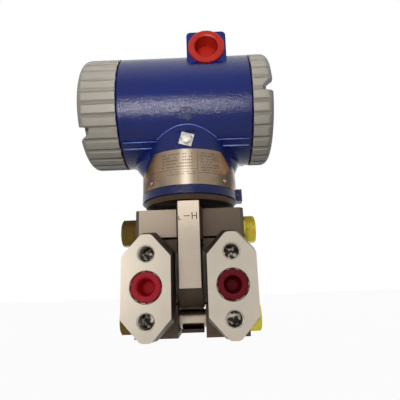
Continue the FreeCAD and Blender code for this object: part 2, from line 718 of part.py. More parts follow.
def neck_flare(body):
    """Widening of the neck to both sides: a small offset cone each side, run up into the cylinder."""
    offset = size.neck_diameter / 4
    foot = size.neck_diameter / 2 - offset - 0.2
    for label, sign, reach in (("left", -1, size.flare_left), ("right", 1, size.flare_right)):
        head = reach - offset
        primitive(body, "AdditiveCone", f"flare_{label}", (sign * offset, 0, FLARE_FOOT), "+Z",
                  Radius1=foot, Radius2=head, Height=size.flare_rise)
        primitive(body, "AdditiveCylinder", f"flare_root_{label}",
                  (sign * offset, 0, FLARE_FOOT + size.flare_rise), "+Z", Radius=head, Height=8)


def housing_rails(body):
    """Flat raised rails low on the cylinder, front and rear, either side of the neck."""
    radius = size.housing_diameter / 2
    angle = math.radians(size.rail_angle.value)
    for end, start, stop in (
            ("left", -size.housing_left + size.rail_end_gap, -size.rail_inner),
            ("right", size.rail_inner, size.housing_right - size.rail_end_gap)):
        for face, sign in (("front", -1), ("rear", 1)):
            outline = new_sketch(body, f"rail_{face}_{end}_section", "YZ_Plane", (0, 0, start))
            across, up = sign * math.cos(angle), -math.sin(angle)
            along_y, along_z = sign * math.sin(angle), math.cos(angle)
            half = size.rail_width / 2
            corners = []
            for depth, shift in ((-4.0, -1), (-4.0, 1), (size.rail_proud, 1), (size.rail_proud, -1)):
                distance = radius + depth
                corners.append((distance * across + half * (shift * along_y),
                                size.housing_height + distance * up + half * (shift * along_z)))
            draw_outline(outline, corners)
            pad(body, f"rail_{face}_{end}", outline, stop - start)


def raised_ring(body):
    """Plain ring standing square on the cylinder's front, below the axis."""
    radius = size.housing_diameter.value / 2
    below = math.asin(size.disc_drop.value / radius)
    FACING["into_cylinder"] = Rotation(Vector(1, 0, 0), math.degrees(below) - 90)
    for kind, name, diameter, proud, deep in (
            ("AdditiveCylinder", "front_ring", size.disc_diameter, size.disc_proud,
             size.disc_proud + size.disc_root),
            ("SubtractiveCylinder", "front_ring_inside", size.disc_inner, 2 * size.disc_proud,
             2.1 * size.disc_proud)):
        out = radius + proud.value
        primitive(body, kind, name, (0, -out * math.cos(below), size.housing_height - out * math.sin(below)),
                  "into_cylinder", Radius=diameter / 2, Height=deep)


def housing_casting():
    """Two-chamber cast housing: cylinder, conduit hub, neck, foot ring and lock lug."""
    body = new_body("housing_casting", (0, size.flange_reach, 0))
    axis = size.housing_height
    radius = size.housing_diameter / 2
    length = size.housing_left + size.housing_right
    primitive(body, "AdditiveCylinder", "cylinder", (-size.housing_left, 0, axis), "+X",
              Radius=radius, Height=length)
    primitive(body, "AdditiveCylinder", "neck", (0, 0, RING_BOTTOM), "+Z",
              Radius=size.neck_diameter / 2, Height=axis - RING_BOTTOM)
    neck_flare(body)
    primitive(body, "AdditiveCylinder", "foot_ring", (0, 0, RING_BOTTOM), "+Z",
              Radius=size.ring_diameter / 2, Height=size.ring_height)
    lug = new_sketch(body, "lug_outline", "XY_Plane", (0, 0, RING_BOTTOM))
    draw_outline(lug, rectangle(size.lug_reach - 30, size.lug_width, (size.lug_reach + 30) / 2))
    pad(body, "lug", lug, size.lug_height)
    hub = new_sketch(body, "hub_outline", "XZ_Plane")
    draw_outline(hub, rectangle(size.hub_width, HUB_TOP - axis, size.hub_offset,
                                (HUB_TOP + axis) / 2))
    pad(body, "hub", hub, size.hub_depth, middle=True)
    top = HUB_TOP.value

    def hub_shoulder(edge):
        """The hub's two upper edges that run front to back."""
        ends = [vertex.Point for vertex in edge.Vertexes]
        return (len(ends) == 2 and all(abs(end.z - top) < 0.01 for end in ends)
                and abs(ends[0].x - ends[1].x) < 0.01)
    dress(body, "Fillet", "hub_shoulders", size.hub_round, hub_shoulder)
    housing_rails(body)

    pocket_floor = new_sketch(body, "ground_pocket", "XZ_Plane", (0, 0, POCKET_FLOOR))
    pocket_height = POCKET_TOP - PLATE_TOP
    draw_outline(pocket_floor, rectangle(size.pocket_width, pocket_height, 0,
                                         (POCKET_TOP + PLATE_TOP) / 2))
    pocket(body, "ground_flat", pocket_floor, 12, back=True)
    bore(body, "ground_hole", (0, -POCKET_FLOOR - 1, GROUND_HEIGHT), "+Y",
         size.ground_shank_diameter + 0.2, 9.5)

    raised_ring(body)
    bore(body, "left_chamber", (-size.housing_left, 0, axis), "+X",
         size.chamber_bore, size.housing_left - size.partition_left)
    bore(body, "right_chamber", (size.housing_right, 0, axis), "-X",
         size.chamber_bore, size.housing_right - size.partition_right)
    seal = size.oring_diameter + size.oring_section + 0.7
    for label, end, facing in (("left", -size.housing_left, "+X"), ("right", size.housing_right, "-X")):
        bore(body, label + "_seal_seat", (end, 0, axis), facing, seal, size.oring_section + 0.3)
    bore(body, "neck_bore", (0, 0, RING_BOTTOM), "+Z",
         size.sensor_neck_diameter + 2 * size.swivel_clearance,
         size.sensor_neck_top + 2 - RING_BOTTOM)
    bore(body, "neck_wireway", (-size.partition_left - 9, 0, size.sensor_neck_top), "+Z", 11.0,
         axis - size.chamber_bore / 2 + 4 - size.sensor_neck_top)
    bore(body, "partition_hole", (-size.partition_left - 1, 0, axis), "+X", size.feed_diameter,
         size.partition_left + size.partition_right + 2)
    for label, sign, inward, outward in (("front", -1, "+Y", "-Y"), ("rear", 1, "-Y", "+Y")):
        face = (size.hub_offset, sign * SPOT_FACE, CONDUIT_HEIGHT)
        bore(body, label + "_spot_face", face, outward, size.spot_face_diameter, 8.0)
        bore(body, label + "_conduit", face, inward, size.conduit_diameter, size.conduit_depth)
    bore(body, "conduit_link", (size.hub_offset, -SPOT_FACE + size.conduit_depth - 1,
                                CONDUIT_HEIGHT), "+Y", 13.0,
         2 * (SPOT_FACE - size.conduit_depth + 1))
    bore(body, "lock_screw_hole", (size.lug_reach, 0, RING_BOTTOM + size.lug_height / 2), "-X",
         size.lock_screw_diameter + 0.1, size.lug_reach - size.sensor_neck_diameter / 2)
    for label, end, width in (("left", -size.housing_left, 1.2), ("right", size.housing_right, 1.2)):
        place = end.value

        def rim(edge, place=place):
            """Outer rim of the cylinder at one end."""
            return (isinstance(edge.Curve, Part.Circle) and abs(edge.Curve.Radius - radius.value) < 0.01
                    and abs(edge.Curve.Center.x - place) < 0.01)
        dress(body, "Chamfer", f"{label}_rim", width, rim)
    return body


housing_casting()

# ---------------------------------------------------------------- fluted covers


def fluted_cover(name, end, facing, length, window, notch_angle):
    """Screwed cover: hollow turned cup with flutes and two wrench notches; Z points outwards.

    With a window the end is an opening with a lip, otherwise a closed wall.
    """
    turn = FACING[facing].multiply(Rotation(Vector(0, 0, 1), notch_angle.value))
    body = new_body(name, (end, size.flange_reach, size.housing_height), turn)
    radius, inside = size.cap_diameter / 2, size.cap_bore / 2
    skirt = size.chamber_bore / 2 - size.skirt_clearance
    cup = [(inside, -size.cap_skirt), (skirt, -size.cap_skirt), (skirt, size.cap_gap),
           (radius, size.cap_gap), (radius, length)]
    if window:
        opening = size.window_diameter / 2
        floor = length - size.window_lip
        cup += [(opening + 1.5, length), (opening, length - 1.5), (opening, floor), (inside, floor)]
    else:
        floor = length - size.terminal_cap_end
        cup += [(0, length), (0, floor), (inside, floor)]
    revolve(body, name + "_cup", cup)
    dress(body, "Fillet", name + "_rim", size.cap_round, circle_edge(radius, length))

    valley = size.flute_diameter / 2
    centre = radius + valley - size.flute_depth
    flute = primitive(body, "SubtractiveCylinder", name + "_flute", (centre, 0, 0), "+Z",
                      Radius=valley, Height=length + 1)
    repeat_round(body, name + "_flutes", [flute], size.flute_count)

    side = new_sketch(body, name + "_notch_side", "YZ_Plane", (0, 0, radius - size.notch_radial))
    steep = size.notch_length / 2
    draw_outline(side, [(steep, length + 1), (steep - 0.6, length - size.notch_depth),
                        (steep - 4.0, length - size.notch_depth), (-steep, length),
                        (-steep, length + 1)])
    notch = pocket(body, name + "_notch", side, size.notch_radial + 2, back=True)
    repeat_round(body, name + "_notches", [notch], 2)
    return body


display_cover = fluted_cover("display_cover", -size.housing_left, "-X", size.display_cap_length,
                             True, size.display_notch_angle)
terminal_cover = fluted_cover("terminal_cover", size.housing_right, "+X", size.terminal_cap_length,
                              False, size.terminal_notch_angle)


def cover_oring(name, end, side):
    """O-ring in the seat between the housing's end and a cover."""
    offset = size.oring_section / 2 + 0.1
    body = new_body(name, (end - side * offset, size.flange_reach, size.housing_height), FACING["+X"])
    section = new_sketch(body, name + "_section", "XZ_Plane")
    draw_circle(section, size.oring_diameter / 2, 0, size.oring_section)
    ring = body.newObject("PartDesign::Revolution", name + "_ring")
    ring.Profile = section
    ring.ReferenceAxis = (section, ["V_Axis"])
    ring.Angle = 360.0
    return body


cover_oring("display_cover_oring", -size.housing_left, -1)
cover_oring("terminal_cover_oring", size.housing_right, 1)


def turned_piece(name, at, facing, points):
    """A turned piece whose own Z axis points to `facing`."""
    body = new_body(name, at, FACING[facing])
    revolve(body, name + "_profile", points)
    return body


def ring_profile(inner, outer, bottom, thickness):
    """Corners of a plain ring's section."""
    top = Length.of(bottom) + thickness
    return [(inner, bottom), (outer, bottom), (outer, top), (inner, top)]


def window_set():
    """Gasket, glass and retaining ring stacked behind the long cover's lip."""
    floor = size.display_cap_length - size.window_lip
    at = (-size.housing_left, size.flange_reach, size.housing_height)
    bore_radius = size.cap_bore / 2 - size.glass_clearance
    gasket_low = floor - size.window_gasket_thickness
    turned_piece("window_gasket", at, "-X",
                 ring_profile(size.window_diameter / 2 + 1, bore_radius, gasket_low,
                              size.window_gasket_thickness))
    glass_low = gasket_low - size.glass_thickness
    turned_piece("window_glass", at, "-X", [(0, glass_low), (bore_radius, glass_low),
                                            (bore_radius, gasket_low), (0, gasket_low)])
    turned_piece("window_retainer", at, "-X",
                 ring_profile(bore_radius - size.retainer_width, bore_radius,
                              glass_low - size.retainer_thickness, size.retainer_thickness))


window_set()

# ---------------------------------------------------------------- inside the housing


def electronics():
    """Potted module against the partition, with the display module, its screen and two buttons."""
    centre = (size.flange_reach, size.housing_height)
    module_end = size.partition_left + size.module_length
    body = turned_piece("electronics_module", (-size.partition_left, *centre), "-X",
                        [(0, 0), (size.module_diameter / 2, 0),
                         (size.module_diameter / 2, size.module_length - 2),
                         (size.module_diameter / 2 - 2, size.module_length), (0, size.module_length)])
    clear = size.feed_diameter / 2 + 1
    bore(body, "module_recess", (0, 0, 0), "+Z", 2 * clear, 6)

    display = turned_piece("display_module", (-module_end, *centre), "-X",
                           [(0, 0), (size.module_diameter / 2 - 1, 0),
                            (size.module_diameter / 2 - 1, size.display_length - 1),
                            (size.module_diameter / 2 - 2, size.display_length),
                            (0, size.display_length)])
    screen_y = 4.0
    turn = FACING["-X"].multiply(Rotation(Vector(0, 0, 1), -90))
    display.Placement = Placement(display.Placement.Base, turn)
    seat = new_sketch(display, "screen_seat_outline", "XY_Plane", (0, 0, size.display_length))
    draw_outline(seat, rectangle(size.screen_width + 0.2, size.screen_height + 0.2, 0, screen_y))
    pocket(display, "screen_seat", seat, size.screen_thickness)
    for sign in (-1, 1):
        bore(display, f"button_hole_{'left' if sign < 0 else 'right'}",
             (sign * size.button_spacing / 2, -size.button_drop, size.display_length), "-Z",
             size.button_diameter + 0.6, 6.0)
    face = -module_end - size.display_length
    screen = new_body("display_screen", (face + size.screen_thickness, *centre), turn)
    outline = new_sketch(screen, "screen_outline", "XY_Plane")
    draw_outline(outline, rectangle(size.screen_width, size.screen_height, 0, screen_y))
    pad(screen, "screen", outline, size.screen_thickness)
    for label, sign in (("left", -1), ("right", 1)):
        spot = turn.multVec(Vector(sign, 0, 0))
        across = Length.of(round(spot.y)) * (size.button_spacing / 2)
        button = new_body("display_button_" + label,
                          (face + 4.0, size.flange_reach + across, size.housing_height - size.button_drop),
                          turn)
        radius = size.button_diameter / 2
        height = 4.0 + size.button_travel + 0.6
        revolve(button, f"button_{label}", [(0, 0), (radius, 0), (radius, height - 0.5),
                                            (radius - 0.5, height), (0, height)])


electronics()


def terminals():
    """Terminal block on the partition with three terminal screws, and the feed-through behind it."""
    centre = (size.flange_reach, size.housing_height)
    face = size.partition_right + size.block_length
    body = new_body("terminal_block", (size.partition_right, *centre), FACING["+X"])
    revolve(body, "block", [(0, 0), (size.module_diameter / 2, 0),
                            (size.module_diameter / 2, size.block_length - 6),
                            (size.module_diameter / 2 - 6, size.block_length - 6),
                            (size.module_diameter / 2 - 6, size.block_length), (0, size.block_length)])
    bore(body, "block_recess", (0, 0, 0), "+Z", size.feed_diameter + 2, 5)
    head = size.terminal_screw_diameter / 2
    for index in range(int(size.terminal_count.value)):
        shift = size.terminal_pitch * (index - (size.terminal_count.value - 1) / 2)
        bore(body, f"screw_hole_{index + 1}", (0, shift, size.block_length), "-Z", 3.2, 10)
        screw = new_body(f"terminal_screw_{index + 1}",
                         (face, size.flange_reach + shift, size.housing_height), FACING["+X"])
        revolve(screw, f"terminal_screw_{index + 1}_form",
                [(0, -8), (1.5, -8), (1.5, 0), (head, 0), (head, 1.8), (head - 0.6, 2.4), (0, 2.4)])
        slot = new_sketch(screw, f"terminal_slot_{index + 1}", "XY_Plane", (0, 0, 2.4))
        draw_outline(slot, rectangle(2 * head + 1, 1.0))
        pocket(screw, f"terminal_slot_cut_{index + 1}", slot, 1.0)
    length = size.partition_left + size.partition_right + 6
    turned_piece("feed_through", (-size.partition_left - 3, *centre), "+X",
                 [(0, 0), (size.feed_diameter / 2 - 0.1, 0), (size.feed_diameter / 2 - 0.1, length),
                  (0, length)])


terminals()

# ---------------------------------------------------------------- outside fittings


def nameplate():
    """Thin plate bent round the front of the neck, with its upper corners cut down at the sides."""
    body = new_body("nameplate", (0, size.flange_reach, 0))
    inner = size.neck_diameter / 2 + 0.05
    outer = inner + size.plate_thickness
    revolve(body, "plate_ring", [(inner, size.plate_bottom), (outer, size.plate_bottom),
                                 (outer, PLATE_TOP), (inner, PLATE_TOP)])
    rear = new_sketch(body, "plate_rear", "XY_Plane", (0, 0, size.plate_bottom - 1))
    wide = outer + 5
    draw_outline(rear, [(-wide, 5.0), (0, 5.0), (0, -size.lug_width / 2 - 1),
                        (wide, -size.lug_width / 2 - 1), (wide, wide), (-wide, wide)])
    pocket(body, "plate_opening", rear, PLATE_TOP - size.plate_bottom + 2, back=True)
    upper = new_sketch(body, "plate_corners", "XZ_Plane")
    end_top = FLARE_FOOT - size.plate_flare_gap
    level = size.plate_level / 2
    for side in (-1, 1):
        draw_outline(upper, [(side * wide, end_top), (side * (level + size.plate_slope), end_top),
                             (side * level, PLATE_TOP), (side * level, PLATE_TOP + 2),
                             (side * wide, PLATE_TOP + 2)])
    pocket(body, "plate_corner_cut", upper, 2 * wide, middle=True)
    return body


nameplate()


def ground_terminal():
    """Square washer and slotted pan-head screw on the flat pocket."""
    at = (0, size.flange_reach - POCKET_FLOOR, GROUND_HEIGHT)
    turn = FACING["-Y"].multiply(Rotation(Vector(0, 0, 1), -size.ground_washer_tilt.value))
    washer = new_body("ground_washer", at, turn)
    outline = new_sketch(washer, "ground_washer_outline", "XY_Plane")
    draw_outline(outline, rectangle(size.ground_washer_side, size.ground_washer_side))
    draw_circle(outline, 0, 0, size.ground_shank_diameter + 0.4)
    pad(washer, "ground_washer_plate", outline, size.ground_washer_thickness)
    base = size.ground_washer_thickness
    head, shank = size.ground_head_diameter / 2, size.ground_shank_diameter / 2
    screw = new_body("ground_screw", at, turn)
    revolve(screw, "ground_screw_form",
            [(0, -8), (shank, -8), (shank, base), (head, base), (head, base + 1.3),
             (head - 0.5, base + 2.1), (head - 1.5, base + 2.6), (0, base + 2.8)])
    slot = new_sketch(screw, "ground_slot", "XY_Plane", (0, 0, base + 2.8))
    draw_outline(slot, rectangle(2 * head + 1, 1.1))
    pocket(screw, "ground_slot_cut", slot, 1.2)


ground_terminal()


def lock_screw():
    """Socket set screw in the lug, its tip just clear of the sensor neck."""
    length = size.lug_reach - size.sensor_neck_diameter / 2 - size.swivel_clearance - 1.2
    body = new_body("lock_screw", (size.lug_reach - 0.8, size.flange_reach,
                                   RING_BOTTOM + size.lug_height / 2), FACING["-X"])
    radius = size.lock_screw_diameter / 2
    revolve(body, "lock_screw_form", [(0, 0), (radius, 0), (radius, length - 1), (radius - 1, length),
                                      (0, length)])
    socket = new_sketch(body, "lock_screw_socket", "XY_Plane")
    draw_outline(socket, hexagon(2.0))
    pocket(body, "lock_screw_hex", socket, 2.0, back=True)


lock_screw()


def push_in_cap(name, at, flange, thickness, cup, stem, depth, dome):
    """Moulded protective cap: round flange, hollow stem, and a low dome in the cup's floor."""
    outside, inside = Length.of(stem) / 2, Length.of(cup) / 2
    flange = Length.of(flange) / 2
    points = [(outside, 0), (flange, 0), (flange, thickness - 0.8), (flange - 0.8, thickness),
              (inside + 1.0, thickness), (inside, thickness - 0.7), (inside - 0.6, -depth + 2.0),
              (inside * 0.62, -depth + 2.0 + dome), (0, -depth + 2.4 + dome), (0, -depth),
              (outside - 1.0, -depth), (outside, -depth + 2)]
    body = new_body(name, at, FACING["-Y"])
    revolve(body, name + "_form", points)
    return body


def caps():
    """Red caps in the front conduit entry and the two process ports."""
    conduit_front = size.flange_reach - SPOT_FACE
    stem = size.conduit_diameter - 2 * size.cap_fit
    push_in_cap("conduit_cap", (size.hub_offset, conduit_front, CONDUIT_HEIGHT),
                size.conduit_cap_diameter, size.conduit_cap_rim, stem - 2 * size.conduit_cap_wall,
                stem, 12.0, 1.0)
    port_stem = size.port_diameter - 2 * size.cap_fit
    for label, sign in (("high", 1), ("low", -1)):
        push_in_cap("port_cap_" + label,
                    (sign * size.port_spacing / 2, size.port_seat_depth, 0),
                    size.port_cap_diameter, size.port_seat_depth, port_stem - 2 * size.port_cap_wall,
                    port_stem, 11.0, 0.8)


caps()


def hex_plug(name, at, flats, height, stem, depth, drilled=0):
    """Metal plug with a hexagonal head; Z points out of the hole."""
    body = new_body(name, at, FACING["+Y"])
    hex_prism(body, name, flats, height)
    primitive(body, "AdditiveCylinder", name + "_stem", (0, 0, 0), "-Z",
              Radius=Length.of(stem) / 2, Height=depth)
    if drilled:
        bore(body, name + "_drilling", (0, 0, Length.of(height)), "-Z", drilled, 8.0)
    return body


def rear_plugs():
    """Metal plug in the rear conduit entry, and vent plugs with vent screws in the rear ports."""
    hex_plug("rear_conduit_plug",
             (size.hub_offset, size.flange_reach + SPOT_FACE, CONDUIT_HEIGHT),
             22.0, 6.0, size.conduit_diameter - 0.1, 12.0)
    seat = 2 * size.flange_reach - size.port_seat_depth
    for label, sign in (("high", 1), ("low", -1)):
        at = (sign * size.port_spacing / 2, seat, 0)
        hex_plug("vent_plug_" + label, at, size.vent_hex, 7.0, size.port_diameter - 0.1, 12.0,
                 size.vent_screw_diameter + 0.1)
        tip = (sign * size.port_spacing / 2, seat + 7.0, 0)
        screw = new_body("vent_screw_" + label, tip, FACING["+Y"])
        hex_prism(screw, "vent_screw_" + label, 7.0, 5.0)
        primitive(screw, "AdditiveCylinder", f"vent_screw_{label}_stem", (0, 0, 0), "-Z",
                  Radius=size.vent_screw_diameter / 2, Height=7.0)


rear_plugs()

# ---------------------------------------------------------------- checks and files


def write_parts():
    """Check every feature and every solid, then write one STEP file for each node."""
    doc.recompute()
    for item in doc.Objects:
        if "Invalid" in item.State or "Error" in item.State:
            raise RuntimeError(f"{item.Label} failed: {item.State}")
    os.makedirs("parts", exist_ok=True)
    for body in NODES:
        shape = body.Shape
        if shape.isNull() or not shape.isValid() or not shape.Solids:
            raise RuntimeError(f"{body.Label} has no valid solid")
        shape.exportStep(f"parts/{body.Label}.step")
        print(f"{body.Label:28s} {len(shape.Solids)} solid {shape.Volume / 1000:9.2f} cm3")
    print(len(NODES), "nodes")


write_parts()
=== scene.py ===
# %% [markdown]
# # Dressing a differential pressure transmitter
# A transmitter of this kind measures the difference between two pressures.
# Two bolted steel covers hold the sensor, and a painted cast housing above it
# holds the electronics. The solids come finished from the CAD model, so this
# lesson gives them paint, machined steel and plastic, adds the small details
# that a solid leaves out, and sets up the light and the camera.

import json
import math

import bpy
import numpy as np
from mathutils import Matrix, Vector


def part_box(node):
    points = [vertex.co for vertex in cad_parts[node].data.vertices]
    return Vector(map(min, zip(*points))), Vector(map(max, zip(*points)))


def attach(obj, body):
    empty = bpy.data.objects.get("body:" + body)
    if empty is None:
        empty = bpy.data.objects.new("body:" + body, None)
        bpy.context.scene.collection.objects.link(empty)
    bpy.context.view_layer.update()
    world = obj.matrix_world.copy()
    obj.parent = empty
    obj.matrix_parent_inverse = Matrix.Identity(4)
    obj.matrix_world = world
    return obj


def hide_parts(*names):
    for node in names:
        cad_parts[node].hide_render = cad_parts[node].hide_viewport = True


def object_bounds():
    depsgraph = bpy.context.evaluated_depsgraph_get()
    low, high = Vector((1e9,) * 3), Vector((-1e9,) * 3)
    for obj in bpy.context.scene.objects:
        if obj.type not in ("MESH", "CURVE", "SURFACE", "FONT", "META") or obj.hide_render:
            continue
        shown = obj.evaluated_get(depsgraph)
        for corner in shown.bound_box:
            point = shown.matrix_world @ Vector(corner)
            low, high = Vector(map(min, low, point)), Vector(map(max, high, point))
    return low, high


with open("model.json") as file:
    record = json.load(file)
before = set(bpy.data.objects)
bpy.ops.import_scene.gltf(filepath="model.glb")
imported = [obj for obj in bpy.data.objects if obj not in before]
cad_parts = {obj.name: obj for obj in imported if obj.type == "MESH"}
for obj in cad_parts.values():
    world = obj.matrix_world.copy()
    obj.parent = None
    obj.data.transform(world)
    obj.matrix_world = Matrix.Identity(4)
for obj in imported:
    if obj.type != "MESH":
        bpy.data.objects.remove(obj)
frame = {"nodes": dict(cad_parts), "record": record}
nodes = frame["nodes"]
cad_low, cad_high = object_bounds()
MM = 0.001
print(len(nodes), "solids, size in mm:", [round(s / MM, 1) for s in cad_high - cad_low])

# %% [markdown]
# ## The main lines
# Everything is placed from a few axes of the part. The housing is a cylinder
# that lies along X, the neck below it stands along Z, and the four tapped
# holes of each flange face sit at the corners of a rectangle round the origin.
# All of them are read from the boxes of the CAD nodes.

# %% Axes read from the solids
def middle(node):
    """The centre of a node's box, in millimetres."""
    low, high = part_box(node)
    return (low + high) / (2 * MM)


housing_axis_y = middle("display_cover").y
housing_axis_z = middle("display_cover").z
plate_low, plate_high = (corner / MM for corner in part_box("nameplate"))
neck_y = housing_axis_y
plate_radius = neck_y - plate_low.y
rear_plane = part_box("process_cover_high")[1].y / MM
port_x = abs(middle("port_cap_high").x)
print("housing axis at y", round(housing_axis_y, 1), "z", round(housing_axis_z, 1))

# %% [markdown]
# ## The camera
# The camera stands low and close, and looks up. The lens is given for a 36 mm
# wide sensor. A camera in Blender looks along its own -Z, so its three axes are
# written as the columns of a matrix.

# %% Camera
CAMERA_AT = Vector((11.6, -239.0, -4.6)) * MM
CAMERA_TURN, CAMERA_LIFT, CAMERA_ROLL = (math.radians(a) for a in (-0.77, 13.82, -1.94))

ahead = Vector((
    math.sin(CAMERA_TURN) * math.cos(CAMERA_LIFT),
    math.cos(CAMERA_TURN) * math.cos(CAMERA_LIFT),
    math.sin(CAMERA_LIFT),
))
level_right = Vector((math.cos(CAMERA_TURN), -math.sin(CAMERA_TURN), 0.0))
level_up = level_right.cross(ahead)
right = math.cos(CAMERA_ROLL) * level_right + math.sin(CAMERA_ROLL) * level_up
up = -math.sin(CAMERA_ROLL) * level_right + math.cos(CAMERA_ROLL) * level_up

lens = bpy.data.cameras.new("phone")
lens.sensor_width = 36.0
lens.lens = 34.08
lens.clip_start, lens.clip_end = 0.01, 20.0
camera = bpy.data.objects.new("phone", lens)
camera.matrix_world = Matrix((right, up, -ahead)).transposed().to_4x4()
camera.location = CAMERA_AT
bpy.context.scene.collection.objects.link(camera)
bpy.context.scene.camera = camera
print("camera stands", round(CAMERA_AT.length, 3), "m from the origin on the flange plane")

# %% [markdown]
# ## Shader sums
# A procedural finish is a sum of masks and noises. Written as nodes alone it
# takes many lines, so one small class stands for an output socket, and plus,
# minus, times and the rest each add a Math node. A second class holds one
# material and adds any other node with one method.

# %% Value and Finish
class Value:
    """A number that varies over a surface. Arithmetic on it adds Math nodes."""

    def __init__(self, finish, socket):
        self.finish, self.socket = finish, socket

    def __add__(self, other):
        return self.finish.math("ADD", self, other)

    def __sub__(self, other):
        return self.finish.math("SUBTRACT", self, other)

    def __rsub__(self, other):
        return self.finish.math("SUBTRACT", other, self)

    def __mul__(self, other):
        return self.finish.math("MULTIPLY", self, other)

    def __truediv__(self, other):
        return self.finish.math("DIVIDE", self, other)

    def __pow__(self, power):
        return self.finish.math("POWER", self, power)

    def __abs__(self):
        return self.finish.math("ABSOLUTE", self)

    __radd__ = __add__
    __rmul__ = __mul__

    def most(self, other):
        return self.finish.math("MAXIMUM", self, other)

    def step(self, edge, soft):
        """0 below the edge, 1 above it, with a smooth change as wide as soft on each side."""
        return self.finish.node("ShaderNodeMapRange", {"interpolation_type": "SMOOTHSTEP"},
                                {"Value": self, "From Min": edge - soft, "From Max": edge + soft})

    def band(self, low, high, soft):
        """1 between low and high, 0 outside."""
        return self.step(low, soft) * (1 - self.step(high, soft))


class Finish:
    """One material that ends in a Principled shader, with fixed numbers on the shader's own sockets."""

    def __init__(self, name, **fixed):
        self.material = bpy.data.materials.new(name)
        self.material.use_nodes = True
        self.tree = self.material.node_tree
        self.shader = self.tree.nodes["Principled BSDF"]
        for socket, number in fixed.items():
            self.shader.inputs[socket.replace("_", " ")].default_value = number
        self.place = self.node("ShaderNodeVectorMath", {"operation": "SCALE"},
                               {0: self.node("ShaderNodeTexCoord", output="Object"), "Scale": 1 / MM})
        split = self.node("ShaderNodeSeparateXYZ", {}, {0: self.place})
        self.x, self.y, self.z = (Value(self, socket) for socket in split.socket.node.outputs)

    def node(self, kind, settings=None, inputs=None, output=0):
        """Adds a node: settings first, then the numbers or links of its sockets. Returns one output."""
        made = self.tree.nodes.new(kind)
        for name, choice in (settings or {}).items():
            setattr(made, name, choice)
        for key, given in (inputs or {}).items():
            if isinstance(given, Value):
                self.tree.links.new(given.socket, made.inputs[key])
            else:
                made.inputs[key].default_value = given
        return Value(self, made.outputs[output])

    def math(self, operation, *numbers):
        """One Math node: the operation applied to up to three numbers or values."""
        return self.node("ShaderNodeMath", {"operation": operation}, dict(enumerate(numbers)))

    def noise(self, size_mm, detail=2.0, roughness=0.5, stretch=(1, 1, 1)):
        """Cloudy noise from 0 to 1 with patches of about size_mm, drawn out along an axis by stretch."""
        where = self.node("ShaderNodeMapping", {}, {0: self.place, "Scale": [1 / s for s in stretch]})
        return self.node("ShaderNodeTexNoise", {}, {
            "Vector": where, "Scale": 1 / size_mm, "Detail": detail, "Roughness": roughness})

    def mix(self, mask, below, above):
        """The colour below where the mask is 0, above where it is 1."""
        return self.node("ShaderNodeMix", {"data_type": "RGBA"},
                         {0: mask, 6: below, 7: above}, output=2)

    def facing(self, axis):
        """How far the surface faces along an axis (0, 1 or 2), from -1 to 1."""
        normal = self.node("ShaderNodeNewGeometry", output="True Normal")
        split = self.node("ShaderNodeSeparateXYZ", {}, {0: normal})
        return Value(self, split.socket.node.outputs[axis])

    def colour(self, value):
        self.tree.links.new(value.socket, self.shader.inputs["Base Color"])

    def rough(self, value):
        self.tree.links.new(value.socket, self.shader.inputs["Roughness"])

    def relief(self, height, depth_mm, strength=1.0):
        """Bumps of that depth where height goes from 0 to 1."""
        bump = self.node("ShaderNodeBump", {}, {
            "Height": height, "Distance": depth_mm * MM, "Strength": strength})
        self.tree.links.new(bump.socket, self.shader.inputs["Normal"])


def rgb(red, green, blue):
    """A colour as its screen numbers from 0 to 255, turned into the linear numbers that shaders use."""
    screen = np.array([red, green, blue]) / 255
    linear = np.where(screen <= 0.04045, screen / 12.92, ((screen + 0.055) / 1.055) ** 2.4)
    return (*linear.tolist(), 1.0)


def dress(finish, *names):
    """Puts a finish on CAD nodes."""
    for name in names:
        nodes[name].data.materials.clear()
        nodes[name].data.materials.append(finish.material)
    print(finish.material.name, "on", ", ".join(names))


# %% [markdown]
# ## Blue enamel on the cast housing
# Sprayed enamel on a sand casting is glossy but never quite flat: it dries with
# an orange-peel surface that breaks a highlight into sparkling specks. Two
# noises of different size make the peel, and a third, wide one varies the
# colour slightly, as the coat is thinner in places.

# %% Housing enamel
CYLINDER_RADIUS = 43.8
RING_DROP = 18.8
RING_FROM, RING_TO = 4.0, 5.1


def housing_enamel():
    """Peel = fine noise + half as much coarse noise. The blue drifts slowly; painted shade darkens the
    raised ring.
    """
    enamel = Finish("housing_enamel", Specular_IOR_Level=0.3, IOR=1.5)
    wide = enamel.noise(26, detail=3)
    fine, coarse = enamel.noise(0.95, detail=1), enamel.noise(2.2, detail=1)
    tone = enamel.mix(wide, rgb(0, 16, 80), rgb(0, 26, 106))
    cavity = enamel.noise(7, detail=4).step(0.72, 0.1) * 0.35
    tone = enamel.mix(cavity, tone, rgb(0, 20, 92))
    ring_angle = math.asin(RING_DROP / CYLINDER_RADIUS)
    aside, below = enamel.x, enamel.z - (housing_axis_z - RING_DROP)
    outward = enamel.y - (housing_axis_y - CYLINDER_RADIUS * math.cos(ring_angle))
    ring = (aside * aside + below * below + outward * outward) ** 0.5
    # Painted shade: the band round the raised emblem ring is coloured a darker navy.
    enamel.colour(enamel.mix(ring.band(RING_FROM, RING_TO, 0.25) * 0.8, tone, rgb(0, 12, 58)))
    enamel.rough(0.12 + 0.06 * fine + 0.05 * wide)
    enamel.relief(fine + 0.5 * coarse, 0.24)
    return enamel


housing_paint = housing_enamel()
dress(housing_paint, "housing_casting")

# %% [markdown]
# ## Grey enamel on the fluted covers
# The two screw covers are painted a warm satin grey. The crests of the flutes carry a
# painted highlight and the grooves a painted shade, so the colour follows the
# distance from the covers' own axis, with some noise to break it up.

# %% Cover enamel
CREST_FROM, GROOVE_TO, END_FACE_TO = 43.9, 42.3, 38


